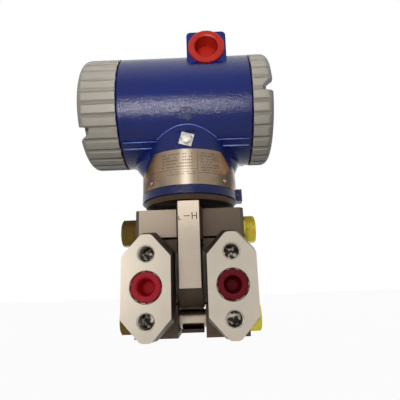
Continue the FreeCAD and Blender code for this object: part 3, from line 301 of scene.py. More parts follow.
def cover_enamel():
    """Distance from the housing axis, in mm: painted shade darkens the grooves, a painted highlight lightens
    the crests, both broken by noise.
    """
    enamel = Finish("cover_enamel", Specular_IOR_Level=0.35)
    across, height = enamel.y - housing_axis_y, enamel.z - housing_axis_z
    distance = (across * across + height * height) ** 0.5
    cloud = enamel.noise(9, detail=4, roughness=0.6)
    # A painted highlight on the flute crests and painted shade down in the grooves, by distance from the
    # axis.
    painted_crest_highlight = (distance + 0.6 * cloud).step(CREST_FROM, 0.45)
    groove = 1 - (distance + 0.5 * cloud).step(GROOVE_TO, 0.5)
    shell = distance.step(END_FACE_TO, 1.5)
    tone = enamel.mix(cloud, rgb(126, 121, 114), rgb(144, 139, 131))
    # Painted shade in the grooves, then the painted highlight on the crests.
    tone = enamel.mix(groove * shell * 0.7, tone, rgb(84, 78, 71))
    tone = enamel.mix(painted_crest_highlight * 0.4, tone, rgb(190, 185, 176))
    enamel.colour(tone)
    grain = enamel.noise(0.9, detail=2)
    enamel.rough(0.36 + 0.14 * cloud + 0.08 * grain)
    enamel.relief(grain + 0.6 * enamel.noise(3.0), 0.10)
    return enamel


cover_paint = cover_enamel()
dress(cover_paint, "display_cover", "terminal_cover")

# %% [markdown]
# ## Steel: cast and machined
# A stainless casting is dull and brownish where it is left as cast, and bright
# where a cutter has been over it. On the process covers the flange faces and
# the holes are machined. The faces are found by the surface's own normal, which
# looks straight along Y there, and the holes by the distance from their axes.

# %% Process cover steel
mounts = {mount["name"]: mount for mount in frame["record"]["mounts"]}
HOLE_RISE = mounts["process_bolts"]["dims"]["spacing_y_mm"] / 2
PORT_WALL, HOLE_WALL = 10.2, 6.1
BLOCK_FROM = 34.0


def cover_steel():
    """Machined on the flange planes and in the holes, as cast elsewhere; the block faces above them carry
    painted light at the left and painted shade at the right.
    """
    steel = Finish("process_cover_steel", Metallic=1.0)
    square_on = abs(steel.facing(1)).step(0.985, 0.01)
    front = 1 - steel.y.step(0.5, 0.3)
    rear = steel.y.step(rear_plane - 0.5, 0.3)
    beside_port = abs(abs(steel.x) - port_x)
    from_port = (beside_port * beside_port + steel.z * steel.z) ** 0.5
    beside_hole = abs(steel.z) - HOLE_RISE
    from_hole = (beside_port * beside_port + beside_hole * beside_hole) ** 0.5
    bored = (1 - from_port.step(PORT_WALL, 0.1)).most(1 - from_hole.step(HOLE_WALL, 0.1))
    machined = (square_on * front.most(rear)).most(bored)
    cloud, sand = steel.noise(12, detail=4, roughness=0.6), steel.noise(0.7, detail=3)
    lay = steel.noise(0.22, detail=1, stretch=(1, 1, 60))
    cast = steel.mix(cloud, rgb(74, 62, 52), rgb(108, 94, 81))
    cast = steel.mix(sand.step(0.62, 0.08) * 0.6, cast, rgb(48, 40, 33))
    cut = steel.mix(cloud * 0.6 + lay * 0.4, rgb(178, 167, 152), rgb(204, 194, 179))
    walls = steel.mix(steel.noise(3.0, detail=2).step(0.55, 0.08), rgb(58, 52, 46), rgb(214, 208, 196))
    cut = steel.mix(bored * (1 - front) * (1 - rear), cut, walls)
    # Painted light and shade: the block faces above the flanges are lighter at the left and darker at the
    # right.
    block = square_on * steel.z.step(BLOCK_FROM, 0.5)
    painted_light_and_shade = steel.mix(steel.x.step(0.0, 6.0), rgb(164, 150, 135), rgb(96, 84, 74))
    steel.colour(steel.mix(machined, steel.mix(block * 0.9, cast, painted_light_and_shade), cut))
    steel.rough((0.46 + 0.12 * sand) * (1 - machined) + (0.24 + 0.10 * cloud + 0.08 * lay) * machined)
    steel.relief(sand * (1 - machined) + lay * machined * 0.1, 0.06)
    return steel


dress(cover_steel(), "process_cover_high", "process_cover_low")

# %% Sensor body steel
def sensor_steel():
    """Fine machining marks along X on the bar, a darker and rougher skin on the round neck flange."""
    steel = Finish("sensor_steel", Metallic=1.0)
    cloud, sand = steel.noise(10, detail=4, roughness=0.6), steel.noise(0.6, detail=2)
    lay = steel.noise(0.25, detail=1, stretch=(40, 1, 1))
    front = (1 - steel.facing(1).step(-0.985, 0.01)) * (1 - steel.y.step(14.5, 0.5))
    body = steel.mix(cloud, rgb(62, 50, 41), rgb(90, 76, 63))
    cut = steel.mix(cloud * 0.6 + lay * 0.4, rgb(170, 156, 141), rgb(192, 179, 163))
    steel.colour(steel.mix(front, body, cut))
    steel.rough(0.40 - 0.08 * front + 0.12 * cloud + 0.06 * lay)
    steel.relief(sand * 0.6 + lay * 0.4, 0.03)
    return steel


dress(sensor_steel(), "sensor_body")

# %% [markdown]
# ## Zinc, yellow passivated
# The two clamping bolts and their nuts carry a thin yellow chromate film. Its
# thickness varies, and with it the tint: dark olive at the heads, and yellow
# green with orange patches at the nuts. The shank between them is painted a pale silver, a painted
# highlight.

# %% Bolt plating
SHANK_HALF = 38


def chromate_zinc():
    """Dark olive left of the middle plane; right of it yellow green, orange where a second noise is high."""
    zinc = Finish("chromate_zinc", Metallic=1.0)
    slow, patch = zinc.noise(6, detail=3), zinc.noise(4, detail=2)
    thick = zinc.mix(slow, rgb(70, 54, 24), rgb(112, 90, 44))
    thin = zinc.mix(slow, rgb(150, 140, 50), rgb(216, 204, 70))
    nut_end = zinc.x.step(0.0, 4.0)
    tint = zinc.mix(nut_end, thick, thin)
    tint = zinc.mix(patch.step(0.62, 0.06) * nut_end * 0.8, tint, rgb(226, 140, 62))
    # Painted highlight: the shank between head and nut is coloured a pale silver.
    shank_painted_highlight = 1 - abs(zinc.x).step(SHANK_HALF, 1)
    zinc.colour(zinc.mix(shank_painted_highlight, tint, rgb(190, 176, 158)))
    zinc.rough(0.24 + 0.16 * slow)
    zinc.relief(zinc.noise(0.5, detail=2), 0.02)
    return zinc


bolt_parts = [f"{place}_{part}" for place in ("upper", "lower")
              for part in ("bolt", "nut", "head_washer", "nut_washer")]
dress(chromate_zinc(), *bolt_parts)

# %% [markdown]
# ## The nameplate
# A thin stainless band is bent round the neck. It is brushed along its length,
# so the scratches run round the neck: the noise is drawn out along the angle.
# Its etched form is generic: ruled boxes with rows of short ticks and no words.
# Angle and height on the band take the place of a flat sheet's two directions.

# %% Nameplate steel
DIVIDER = 7.5
LEFT_RULE, RIGHT_RULE = 79.6, 77.0
TICK_BOXES = [
    (-19, 4, 80.8, 92.5, 1.5, 2.3), (9.5, 24, 78.0, 92.5, 1.1, 2.1), (-15, 6, 75.6, 78.8, 0.9, 1.6),
    (-44, -26, 70.8, 81.0, 1.4, 1.9), (28, 46, 70.8, 78.0, 1.3, 2.0),
]


def ticks(steel, along, height, left, right, low, high, pitch, row):
    """Rows of short dashes of uneven length inside a box; pitch and row are the steps along and up."""
    cell = steel.node("ShaderNodeTexWhiteNoise", {"noise_dimensions": "2D"}, {
        "Vector": steel.node("ShaderNodeCombineXYZ", {}, {
            0: steel.math("FLOOR", along / pitch),
            1: steel.math("FLOOR", height / row), 2: 0.0})})
    in_row = abs(steel.math("FRACT", height / row) - 0.5)
    in_cell = steel.math("FRACT", along / pitch)
    dash = (1 - in_row.step(0.2, 0.06)) * (1 - in_cell.step(0.62, 0.08)) * cell.step(0.34, 0.02)
    return dash * along.band(left, right, 0.1) * height.band(low, high, 0.1)


def nameplate_steel():
    """Unrolled band: along = angle round the neck x radius, up = height. Etched at ruled lines and ticks."""
    steel = Finish("nameplate_steel", Metallic=1.0)
    angle = steel.math("ARCTAN2", steel.x, neck_y - steel.y)
    along, height = angle * plate_radius, steel.z
    sheet = steel.node("ShaderNodeCombineXYZ", {}, {0: along * 0.02, 1: height, 2: 0.0})
    brushed = steel.node("ShaderNodeTexNoise", {}, {"Vector": sheet, "Scale": 5.0, "Detail": 3.0})
    cloud = steel.noise(14, detail=3)
    etched = along.band(-37, DIVIDER, 0.1) * (1 - abs(height - LEFT_RULE).step(0.16, 0.06))
    etched = etched.most((1 - abs(along - DIVIDER).step(0.16, 0.06)) * height.band(70.2, 93, 0.1))
    etched = etched.most(along.band(DIVIDER, 30, 0.1) * (1 - abs(height - RIGHT_RULE).step(0.14, 0.06)))
    for box in TICK_BOXES:
        etched = etched.most(ticks(steel, along, height, *box))
    etched = etched * 0.8
    # Painted reflection: warm brown and orange towards the band's sides where it turns away round the neck;
    # painted highlight: a bright streak near its middle.
    painted_reflection_mask = abs(along).step(24, 14)
    painted_sheen_streak = 1 - abs(along + 1.0).step(3.0, 3.0)
    tone = steel.mix(cloud, rgb(126, 110, 93), rgb(154, 138, 119))
    tone = steel.mix(painted_sheen_streak * 0.6, tone, rgb(226, 214, 196))
    sides = steel.mix(cloud.step(0.5, 0.1), rgb(52, 35, 20), rgb(136, 92, 52))
    tone = steel.mix(painted_reflection_mask * 0.9, tone, sides)
    steel.colour(steel.mix(etched, tone, rgb(70, 56, 44)))
    steel.rough(0.25 + 0.16 * brushed + 0.2 * etched)
    steel.relief(brushed * 0.25 - etched, 0.03)
    return steel


dress(nameplate_steel(), "nameplate")

# %% [markdown]
# ## Small steel, brass and plastics
# Small fittings share simple recipes: a plated steel with a slight haze, brass
# for the terminals, and moulded plastics whose skin is finely pebbled. One
# function per recipe makes all of them, with the colours as its arguments.

# %% Recipes for metal and plastic
GRAIN_SIZE, PEBBLE_SIZE = 0.4, 0.6


def plain_metal(name, dark, light, rough=0.22):
    """Metal whose colour drifts between two tones, with a fine turned haze."""
    metal = Finish(name, Metallic=1.0)
    cloud, grain = metal.noise(5, detail=3), metal.noise(GRAIN_SIZE, detail=2)
    metal.colour(metal.mix(cloud, dark, light))
    metal.rough(rough + 0.12 * cloud + 0.06 * grain)
    metal.relief(grain, 0.015)
    return metal


def moulded_plastic(name, dark, light, rough=0.4, level=0.5, depth_mm=0.02):
    """Plastic with a slow colour drift and a fine pebbled skin."""
    plastic = Finish(name, Specular_IOR_Level=level)
    cloud, pebble = plastic.noise(7, detail=3), plastic.noise(PEBBLE_SIZE, detail=2)
    plastic.colour(plastic.mix(cloud, dark, light))
    plastic.rough(rough + 0.12 * cloud)
    plastic.relief(pebble, depth_mm)
    return plastic


dress(plain_metal("plated_steel", rgb(176, 173, 168), rgb(208, 205, 199)),
      "ground_washer", "ground_screw", "lock_screw", "rear_conduit_plug", "vent_plug_high", "vent_plug_low",
      "vent_screw_high", "vent_screw_low", "window_retainer", "diaphragm_high", "diaphragm_low")
dress(plain_metal("terminal_brass", rgb(170, 136, 72), rgb(204, 170, 98)),
      "terminal_screw_1", "terminal_screw_2", "terminal_screw_3", "feed_through")

# %% Caps, seals and the parts inside
dress(moulded_plastic("orange_cap", rgb(148, 24, 12), rgb(164, 32, 18), rough=0.34, level=0.3),
      "conduit_cap")
# Two copies of one red: the low-side cap has the red itself, the high-side cap a darker copy of it, painted
# shade.
dress(moulded_plastic("crimson_cap", rgb(222, 34, 58), rgb(238, 52, 76), rough=0.4, level=0.3),
      "port_cap_low")
dress(moulded_plastic("painted_shade_red_cap", rgb(128, 10, 28), rgb(152, 16, 36), rough=0.4, level=0.25),
      "port_cap_high")
dress(moulded_plastic("seal_rubber", rgb(22, 22, 23), rgb(34, 34, 35), rough=0.6, depth_mm=0.03),
      "display_cover_oring", "terminal_cover_oring", "neck_oring", "window_gasket")
dress(moulded_plastic("white_gasket", rgb(214, 212, 204), rgb(230, 228, 221), rough=0.55),
      "cover_gasket_high", "cover_gasket_low")
dress(moulded_plastic("module_case", rgb(44, 46, 50), rgb(58, 60, 64), rough=0.5), "electronics_module")
dress(moulded_plastic("display_case", rgb(30, 31, 34), rgb(44, 45, 48), rough=0.45), "display_module")
dress(moulded_plastic("screen_glass", rgb(146, 158, 138), rgb(158, 170, 150), rough=0.12, depth_mm=0.002),
      "display_screen")
dress(moulded_plastic("button_grey", rgb(138, 140, 143), rgb(156, 158, 160), rough=0.5),
      "display_button_left", "display_button_right")
dress(moulded_plastic("terminal_moulding", rgb(30, 52, 42), rgb(40, 64, 52), rough=0.45), "terminal_block")


# %% [markdown]
# ## Clear glass
# The display cover has a thick round window. Glass lets light through, so it
# takes full transmission, and a faint haze in its roughness keeps it from
# looking perfectly new.

# %% Window glass
def clear_glass():
    """Glass with a slight greenish body colour and wiping haze."""
    glass = Finish("clear_glass", Transmission_Weight=1.0, IOR=1.5)
    haze = glass.noise(16, detail=4)
    glass.colour(glass.mix(haze, rgb(236, 244, 241), rgb(248, 252, 251)))
    glass.rough(0.02 + 0.05 * haze)
    return glass


dress(clear_glass(), "window_glass")

# %% [markdown]
# ## Surfaces worked out with numpy
# A helix, a letter stroke and a domed pin are all the same idea: a small
# outline is carried along a path. Every point of the surface is then the path's
# point plus the outline's two numbers times two directions that stand across
# the path. The whole grid is one array, with no loop over its points.

# %% Carrying an outline along a path
def grid_faces(rows, columns):
    """Quads between neighbouring rows of a grid whose rows close on themselves."""
    row, column = np.meshgrid(np.arange(rows - 1), np.arange(columns), indexing="ij")
    beside = (column + 1) % columns
    quads = np.stack([row * columns + column, row * columns + beside,
                      (row + 1) * columns + beside, (row + 1) * columns + column], axis=-1)
    return quads.reshape(-1, 4)


def carry(outline, path, side, rise):
    """point(i, j) = path(i) + outline_x(j) * side(i) + outline_y(j) * rise(i), closed at both ends."""
    grid = (path[:, None, :] + outline[None, :, :1] * side[:, None, :]
            + outline[None, :, 1:] * rise[:, None, :])
    rows, columns = grid.shape[:2]
    faces = grid_faces(rows, columns).tolist()
    last = (rows - 1) * columns
    faces.append(list(range(columns))[::-1])
    faces.append(list(range(last, last + columns)))
    return grid.reshape(-1, 3), faces


def ridge(start, end, outward, half_width, height, sink, corners):
    """Half-round outline, half_width x cos and height x sin - sink, carried straight from start to end."""
    path = np.array([start, end], float)
    course = (path[1] - path[0]) / np.linalg.norm(path[1] - path[0])
    turn = np.linspace(0, np.pi, corners)
    outline = np.stack([half_width * np.cos(turn), height * np.sin(turn) - sink], axis=1)
    ones = np.ones((2, 1))
    return carry(outline, path, ones * np.cross(outward, course), ones * outward)


def add_piece(name, parts, finish, body):
    """Joins several (points in mm, faces) parts into one mesh that rides on a body."""
    points, faces, count = [], [], 0
    for part_points, part_faces in parts:
        points.append(part_points)
        faces += [[count + corner for corner in face] for face in part_faces]
        count += len(part_points)
    mesh = bpy.data.meshes.new(name)
    mesh.from_pydata((np.vstack(points) * MM).tolist(), [], faces)
    mesh.polygons.foreach_set("use_smooth", [True] * len(mesh.polygons))
    mesh.materials.append(finish.material)
    mesh.validate()
    piece = bpy.data.objects.new(name, mesh)
    bpy.context.scene.collection.objects.link(piece)
    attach(piece, body)
    print(name, "has", len(mesh.polygons), "faces and rides on", body)
    return piece


# %% [markdown]
# ## Threads in the tapped holes
# A tapped hole catches the light on its thread. The real thread is a groove; a
# raised helix on the hole's wall shows the same crests. Its path is a circle
# that moves along the hole by one pitch each turn, and its outline is a small
# triangle that points to the hole's axis.

# %% Tapped holes of the four flange faces
THREAD_PITCH, THREAD_DEPTH = 1.27, 16.0
THREAD_START, THREAD_ROOT, THREAD_HEIGHT = 0.6, 0.12, 0.42
CREST_HALF = 0.04
HOLE_STEPS = 30


def thread(centre, radius, inward):
    """Helix round Y: angle = 2 pi x turns, y = start + inward x pitch x turns; a narrow-topped outline."""
    turns = THREAD_DEPTH / THREAD_PITCH
    angle = np.linspace(0, 2 * np.pi * turns, int(turns * HOLE_STEPS))
    out = np.stack([np.cos(angle), np.zeros_like(angle), np.sin(angle)], axis=1)
    path = np.array(centre) + out * radius
    path[:, 1] += inward * (THREAD_START + THREAD_PITCH * angle / (2 * np.pi))
    along = np.zeros_like(out)
    along[:, 1] = inward
    taper = np.clip(np.minimum(angle, angle[-1] - angle) / np.pi, 0.12, 1)[:, None]
    outline = np.array([[THREAD_ROOT, -0.5], [THREAD_ROOT, 0.5],
                        [-THREAD_HEIGHT, CREST_HALF], [-THREAD_HEIGHT, -CREST_HALF]])
    outline[:, 1] *= THREAD_PITCH
    if inward < 0:
        outline = outline[::-1]
    return carry(outline, path, out * taper, along)


cut_steel = plain_metal("cut_thread_steel", rgb(196, 188, 174), rgb(232, 225, 212))
for name, inward in (("process_bolts", 1), ("bracket_bolts", -1)):
    size = mounts[name]["dims"]
    plane = mounts[name]["pos_m"][1] / MM
    half_wide, half_high = size["spacing_x_mm"] / 2, size["spacing_y_mm"] / 2
    threads = [thread((across, plane, height), size["hole_r_mm"], inward)
               for across in (-half_wide, half_wide) for height in (-half_high, half_high)]
    add_piece(name.replace("bolts", "hole_threads"), threads, cut_steel, "sensor")

# %% [markdown]
# ## Marks on the bar
# The two sides of a differential sensor are told apart by two letters stamped
# on the bar: L for the low side and H for the high side, with a line between.
# Each stroke is a half-round ridge, carried along a straight path.

# %% High and low marks
BAR_HALF_DEPTH = 33.8
MARK_BASE, MARK_MIDDLE, MARK_TOP = 44.4, 46.8, 49.2
HIGH_LEFT, HIGH_RIGHT = 2.5, 5.5
LOW_LEFT, LOW_RIGHT = -6.6, -5.2
LINE_LEFT, LINE_RIGHT = -3.1, 0.9
TOWARDS_FRONT = np.array([0.0, -1.0, 0.0])

bar_front = neck_y - BAR_HALF_DEPTH
mark_ink = moulded_plastic("stamped_mark", rgb(84, 70, 56), rgb(104, 88, 72), rough=0.5)
letters = [
    ((HIGH_LEFT, MARK_BASE), (HIGH_LEFT, MARK_TOP)), ((HIGH_RIGHT, MARK_BASE), (HIGH_RIGHT, MARK_TOP)),
    ((HIGH_LEFT, MARK_MIDDLE), (HIGH_RIGHT, MARK_MIDDLE)),
    ((LINE_LEFT, MARK_MIDDLE), (LINE_RIGHT, MARK_MIDDLE)),
    ((LOW_LEFT, MARK_BASE), (LOW_LEFT, MARK_MIDDLE)), ((LOW_LEFT, MARK_BASE), (LOW_RIGHT, MARK_BASE)),
]
strokes = [ridge((start[0], bar_front, start[1]), (end[0], bar_front, end[1]), TOWARDS_FRONT,
                 half_width=0.34, height=0.06, sink=0.02, corners=7) for start, end in letters]
add_piece("side_marks", strokes, mark_ink, "sensor")

# %% [markdown]
# ## Pins that hold the nameplate
# The band is held to the neck by small hammered-in pins with domed heads. A
# dome is a quarter of an ellipse turned round the pin's axis. Its last ring is
# small and closed with one flat face.

# %% Nameplate pins
PIN_ANGLE, PIN_HEIGHT = 46, 73.0
PIN_RADIUS, PIN_RISE, PIN_FOOT = 1.5, 0.8, 0.4
LAST_RING = 0.94


def dome(centre, out, radius, rise, sides=20, rings=6):
    """Rings at share s of the way up: distance = radius x cos(s 90), height = rise x sin(s 90); flat top."""
    across = np.cross(out, [0.0, 0.0, 1.0])
    across /= np.linalg.norm(across)
    upward = np.cross(across, out)
    share = np.linspace(0, LAST_RING, rings) * np.pi / 2
    turn = np.arange(sides) * 2 * np.pi / sides
    wide, high = (radius * np.cos(share))[:, None, None], (rise * np.sin(share))[:, None, None]
    ring = np.cos(turn)[None, :, None] * across + np.sin(turn)[None, :, None] * upward
    grid = np.array(centre) + wide * ring + high * out
    foot = grid[:1] - PIN_FOOT * out
    grid = np.concatenate([foot, grid])
    faces = [face[::-1] for face in grid_faces(rings + 1, sides).tolist()]
    faces.append(list(range(sides)))
    faces.append(list(range(rings * sides, (rings + 1) * sides))[::-1])
    return grid.reshape(-1, 3), faces


pin_steel = plain_metal("pin_steel", rgb(150, 120, 128), rgb(176, 146, 150), rough=0.3)
pins = []
for angle in (-PIN_ANGLE, PIN_ANGLE):
    out = np.array([math.sin(math.radians(angle)), -math.cos(math.radians(angle)), 0.0])
    seat = np.array([0.0, neck_y, PIN_HEIGHT]) + out * (plate_radius + 0.2)
    pins.append(dome(seat, out, PIN_RADIUS, PIN_RISE))
add_piece("nameplate_pins", pins, pin_steel, "topworks")

# %% [markdown]
# ## The two fluted covers
# Each cover is a cup with thirty grooves round it for grip and two notches in
# its rim for a wrench. A cup could be turned on a lathe and its grooves milled;
# here the section is carried round the axis in small steps, and each step may
# change it. Where a groove passes, no point may lie farther out than the
# groove's floor. Where a notch passes, the outer line stops at the notch's
# floor and goes inwards along it. The end face lies lower than the rim, so that
# a notch is open to the light. The terminal cover's end face leaves a hole of
# a hundredth of a millimetre at the axis, too fine to see.

# %% Fluted covers
COVER_RADIUS, RIM_ROUND = 44.0, 6.0
FLUTES = 30
FLUTE_HALF, FLUTE_DEPTH = 1.9, 1.3
NOTCH_DEPTH, NOTCH_HALF = 8.0, 6.3
RAMP_END, STEEP_SIDE = 2.0, 0.4
RIM_INNER_RADIUS, RIM_TAPER = 36.0, 0.8
RECESS_RADIUS, FACE_MIDDLE = 34.9, 20.0
WINDOW_RADIUS, WINDOW_EASE = 26.0, 0.6
INSIDE_RADIUS, SKIRT_RADIUS, SKIRT = 32.6, 36.2, 12.0
LIP, END_WALL, AXIS_RADIUS = 4.0, 0.5, 0.01
COVER_GAP = 0.4
NOTCH_OFFSETS = np.array([-NOTCH_HALF, RAMP_END, NOTCH_HALF - STEEP_SIDE, NOTCH_HALF])


def wrapped(angle):
    """The same angle between -pi and pi."""
    return (angle + np.pi) % (2 * np.pi) - np.pi


def rim_reach(angle, length, notches, side):
    """How far out the rim reaches: the full length, less a ramp, a floor and a steep side at each notch."""
    reach = np.full(len(angle), length)
    heights = [length, length - NOTCH_DEPTH, length - NOTCH_DEPTH, length]
    for notch in notches:
        offset = side * wrapped(angle - notch) * COVER_RADIUS
        floor = np.interp(offset, NOTCH_OFFSETS, heights)
        reach = np.where(abs(offset) < NOTCH_HALF, np.minimum(reach, floor), reach)
    return reach


def cover_section(angle, length, recess, first_groove, notches, side, inner_line):
    """Points (angle, section, 2): distance from the axis and height along it; a quarter arc at the rim."""
    reach = rim_reach(angle, length, notches, side)
    straight = length - RIM_ROUND - COVER_GAP
    over = np.clip((reach - length + RIM_ROUND) / RIM_ROUND, 0, 1)
    run = np.where(reach > length - RIM_ROUND, straight + RIM_ROUND * np.arcsin(over), reach - COVER_GAP)
    whole = straight + RIM_ROUND * np.pi / 2
    shares = np.concatenate([np.linspace(0, straight / whole, 4), np.linspace(straight / whole, 1, 9)[1:]])
    gone = run[:, None] * shares[None, :]
    bend = np.clip((gone - straight) / RIM_ROUND, 0, np.pi / 2)
    outer = COVER_RADIUS - RIM_ROUND * (1 - np.cos(bend))
    height = np.where(gone > straight, length - RIM_ROUND + RIM_ROUND * np.sin(bend), COVER_GAP + gone)
    beside = abs(wrapped((angle - first_groove) * FLUTES) / FLUTES) * COVER_RADIUS
    groove = FLUTE_DEPTH * np.clip(1 - (beside / FLUTE_HALF) ** 2, 0, 1)
    outer = np.minimum(outer, (COVER_RADIUS - groove)[:, None])
    steps = np.linspace(0, 1, 4)[1:]
    ledge = outer[:, -1:] + (RIM_INNER_RADIUS - outer[:, -1:]) * steps[None, :]
    ledge_height = np.repeat(reach[:, None], len(steps), axis=1)
    wall = np.repeat((RIM_INNER_RADIUS - RIM_TAPER * steps)[None, :], len(angle), axis=0)
    wall_top = np.maximum(reach, length - recess)
    wall_height = reach[:, None] + (wall_top - reach)[:, None] * steps[None, :]
    inner = np.repeat(inner_line[None, :, :], len(angle), axis=0)
    distance = np.concatenate([outer, ledge, wall, inner[:, :, 0]], axis=1)
    heights = np.concatenate([height, ledge_height, wall_height, inner[:, :, 1]], axis=1)
    return np.stack([distance, heights], axis=2)


def cover_angles(first_groove, notches):
    """Angles round the cover: closer together in the grooves and at the notches' sides."""
    pitch = 2 * np.pi / FLUTES
    in_groove = np.array([-1.0, -0.8, -0.45, 0.0, 0.45, 0.8, 1.0]) * FLUTE_HALF / COVER_RADIUS
    between = np.array([0.34, 0.5, 0.66]) * pitch
    one_flute = np.concatenate([in_groove, between])
    angles = (first_groove + np.arange(FLUTES)[:, None] * pitch + one_flute[None, :]).ravel()
    corners = NOTCH_OFFSETS / COVER_RADIUS
    for notch in notches:
        angles = np.concatenate([angles, notch + corners, notch - corners])
    return np.unique(np.round(angles % (2 * np.pi), 5))


def inside_line(length, recess, window):
    """(distance, height) from the end face's edge, round the inside and back to the skirt's foot."""
    face = length - recess
    if window:
        line = [(RECESS_RADIUS, face), (WINDOW_RADIUS + WINDOW_EASE, face), (WINDOW_RADIUS, face - 0.4),
                (WINDOW_RADIUS, length - LIP), (INSIDE_RADIUS, length - LIP)]
    else:
        line = [(RECESS_RADIUS, face), (FACE_MIDDLE, face), (AXIS_RADIUS, face),
                (AXIS_RADIUS, face - END_WALL), (INSIDE_RADIUS, face - END_WALL)]
    return np.array(line + [(INSIDE_RADIUS, -SKIRT), (SKIRT_RADIUS, -SKIRT), (SKIRT_RADIUS, COVER_GAP)])


def fluted_cover(name, end, way, length, recess, window, first_groove, first_notch, side):
    """Sweeps the section round the housing axis; way is +1 or -1 along X from the housing's end."""
    notches = (first_notch, first_notch + np.pi)
    inner_line = inside_line(length, recess, window)
    angle = cover_angles(first_groove, notches)
    section = cover_section(angle, length, recess, first_groove, notches, side, inner_line)
    distance, height = section[:, :, 0], section[:, :, 1]
    grid = np.stack([end + way * height, housing_axis_y - distance * np.cos(angle)[:, None],
                     housing_axis_z + distance * np.sin(angle)[:, None]], axis=2)
    rows, columns = grid.shape[:2]
    faces = grid_faces(rows + 1, columns) % (rows * columns)
    if way < 0:
        faces = faces[:, ::-1]
    piece = add_piece(name + "_shell", [(grid.reshape(-1, 3), faces.tolist())], cover_paint, name)
    piece.data.set_sharp_from_angle(angle=math.radians(24))
    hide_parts(name)


display_low, display_high = (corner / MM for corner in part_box("display_cover"))
terminal_low, terminal_high = (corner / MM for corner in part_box("terminal_cover"))
display_end, terminal_end = display_high.x - SKIRT, terminal_low.x + SKIRT
fluted_cover("display_cover", display_end, -1, display_end - display_low.x, recess=3.0, window=True,
             first_groove=math.radians(-0.2), first_notch=math.radians(-43.5), side=1)
fluted_cover("terminal_cover", terminal_end, 1, terminal_high.x - terminal_end, recess=4.5, window=False,
             first_groove=math.radians(-4.3), first_notch=math.radians(1.5), side=-1)

# %% [markdown]
# ## Beads along the rails
# The four flat rails under the cylinder end in a small raised bead on each long
# edge, which catches a thin line of light; the beads are painted a lighter blue, a painted highlight.
# Each bead is a half-round strip: its path is straight, and its outline is a half circle that stands out of
# the rail along the rail's own outward direction.

# %% Rail beads
RAIL_DROP = math.radians(55)
RAIL_OUT, RAIL_HALF = 44.7, 2.85
RAIL_ENDS = ((-47.0, -22.1), (22.1, 45.7))
UPPER_BEAD = 0.45
LOWER_BEAD = 1.5 * UPPER_BEAD


def rail_bead(start, end, face, edge):
    """Half circle carried along X. Outward = (0, face cos a, -sin a), beside = (0, face sin a, cos a)."""
    outward = np.array([0.0, face * math.cos(RAIL_DROP), -math.sin(RAIL_DROP)])
    beside = np.array([0.0, face * math.sin(RAIL_DROP), math.cos(RAIL_DROP)])
    centre = np.array([0.0, housing_axis_y, housing_axis_z])
    centre += RAIL_OUT * outward + edge * RAIL_HALF * beside
    bead = UPPER_BEAD if edge > 0 else LOWER_BEAD
    return ridge(centre + [start, 0, 0], centre + [end, 0, 0], outward, bead, bead, sink=0.05, corners=9)


beads = [rail_bead(start, end, face, edge) for start, end in RAIL_ENDS
         for face in (-1, 1) for edge in (-1, 1)]
# A lighter blue: painted highlight on the rail beads and on the neck line.
painted_highlight_blue = moulded_plastic("painted_highlight_blue", rgb(40, 66, 176), rgb(110, 134, 214), rough=0.15, level=0.8)
add_piece("rail_beads", beads, painted_highlight_blue, "topworks")

# %% [markdown]
# ## The edge where the neck meets the cylinder
# Two cylinders that cross meet in a saddle-shaped curve. The casting has a fine
# rounded line there, shown as a thin bead in the lighter blue of the rail beads, a painted highlight.
# Every point of the curve lies on both: the angle round the neck gives x and y, and the housing's circle
# then gives the height.

# %% Neck line
NECK_RADIUS = 35.6
LINE_HALF_TURN, LINE_THICK = 38, 0.34
LINE_STEPS, LINE_CORNERS = 60, 10


def neck_line():
    """x = r sin a, y = -r cos a, height = -sqrt(R squared - y squared), from the two axes; round outline."""
    turn = np.radians(np.linspace(-LINE_HALF_TURN, LINE_HALF_TURN, LINE_STEPS))
    aside, forward = NECK_RADIUS * np.sin(turn), -NECK_RADIUS * np.cos(turn)
    height = -np.sqrt(CYLINDER_RADIUS ** 2 - forward ** 2)
    path = np.stack([aside, housing_axis_y + forward, housing_axis_z + height], axis=1)
    course = np.gradient(path, axis=0)
    course /= np.linalg.norm(course, axis=1)[:, None]
    outward = np.stack([np.sin(turn), -np.cos(turn), np.zeros(LINE_STEPS)], axis=1)
    side = np.cross(outward, course)
    side /= np.linalg.norm(side, axis=1)[:, None]
    rise = np.cross(course, side)
    corner = np.arange(LINE_CORNERS) * 2 * np.pi / LINE_CORNERS
    outline = LINE_THICK * np.stack([np.cos(corner), np.sin(corner)], axis=1)
    return carry(outline, path, side, rise)


# The bead carries the lighter blue: a painted highlight along the line.
add_piece("neck_line", [neck_line()], painted_highlight_blue, "topworks")

# %% [markdown]
# ## The readout behind the window
# The display shows a plain number in seven-segment digits. Each digit lights
# some of seven short strokes, so a digit is a set of letters from a to g and a
# number is a row of digits. The strokes lie on the screen, which faces -X.

# %% Digits on the screen
SEGMENTS = {"a": ((0, 2), (1, 2)), "b": ((1, 1), (1, 2)), "c": ((1, 0), (1, 1)), "d": ((0, 0), (1, 0)),
            "e": ((0, 0), (0, 1)), "f": ((0, 1), (0, 2)), "g": ((0, 1), (1, 1))}
DIGITS = {"0": "abcdef", "5": "acdfg", "2": "abdeg", "7": "abc"}
READING = "5027"
DIGIT_WIDTH, DIGIT_RISE, DIGIT_PITCH = 4.6, 4.6, 7.2
SEGMENT_HALF, SEGMENT_GAP = 0.45, 0.35
screen_low, screen_high = (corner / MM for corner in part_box("display_screen"))
TOWARDS_WINDOW = np.array([-1.0, 0.0, 0.0])


def digit_stroke(start, end):
    """A half-round ridge on the screen's face, from start to end given as (y, z), with a gap at both."""
    start, end = np.array([screen_low.x, *start]), np.array([screen_low.x, *end])
    gap = (end - start) / np.linalg.norm(end - start) * SEGMENT_GAP
    return ridge(start + gap, end - gap, TOWARDS_WINDOW, SEGMENT_HALF, height=0.05, sink=0.02, corners=7)


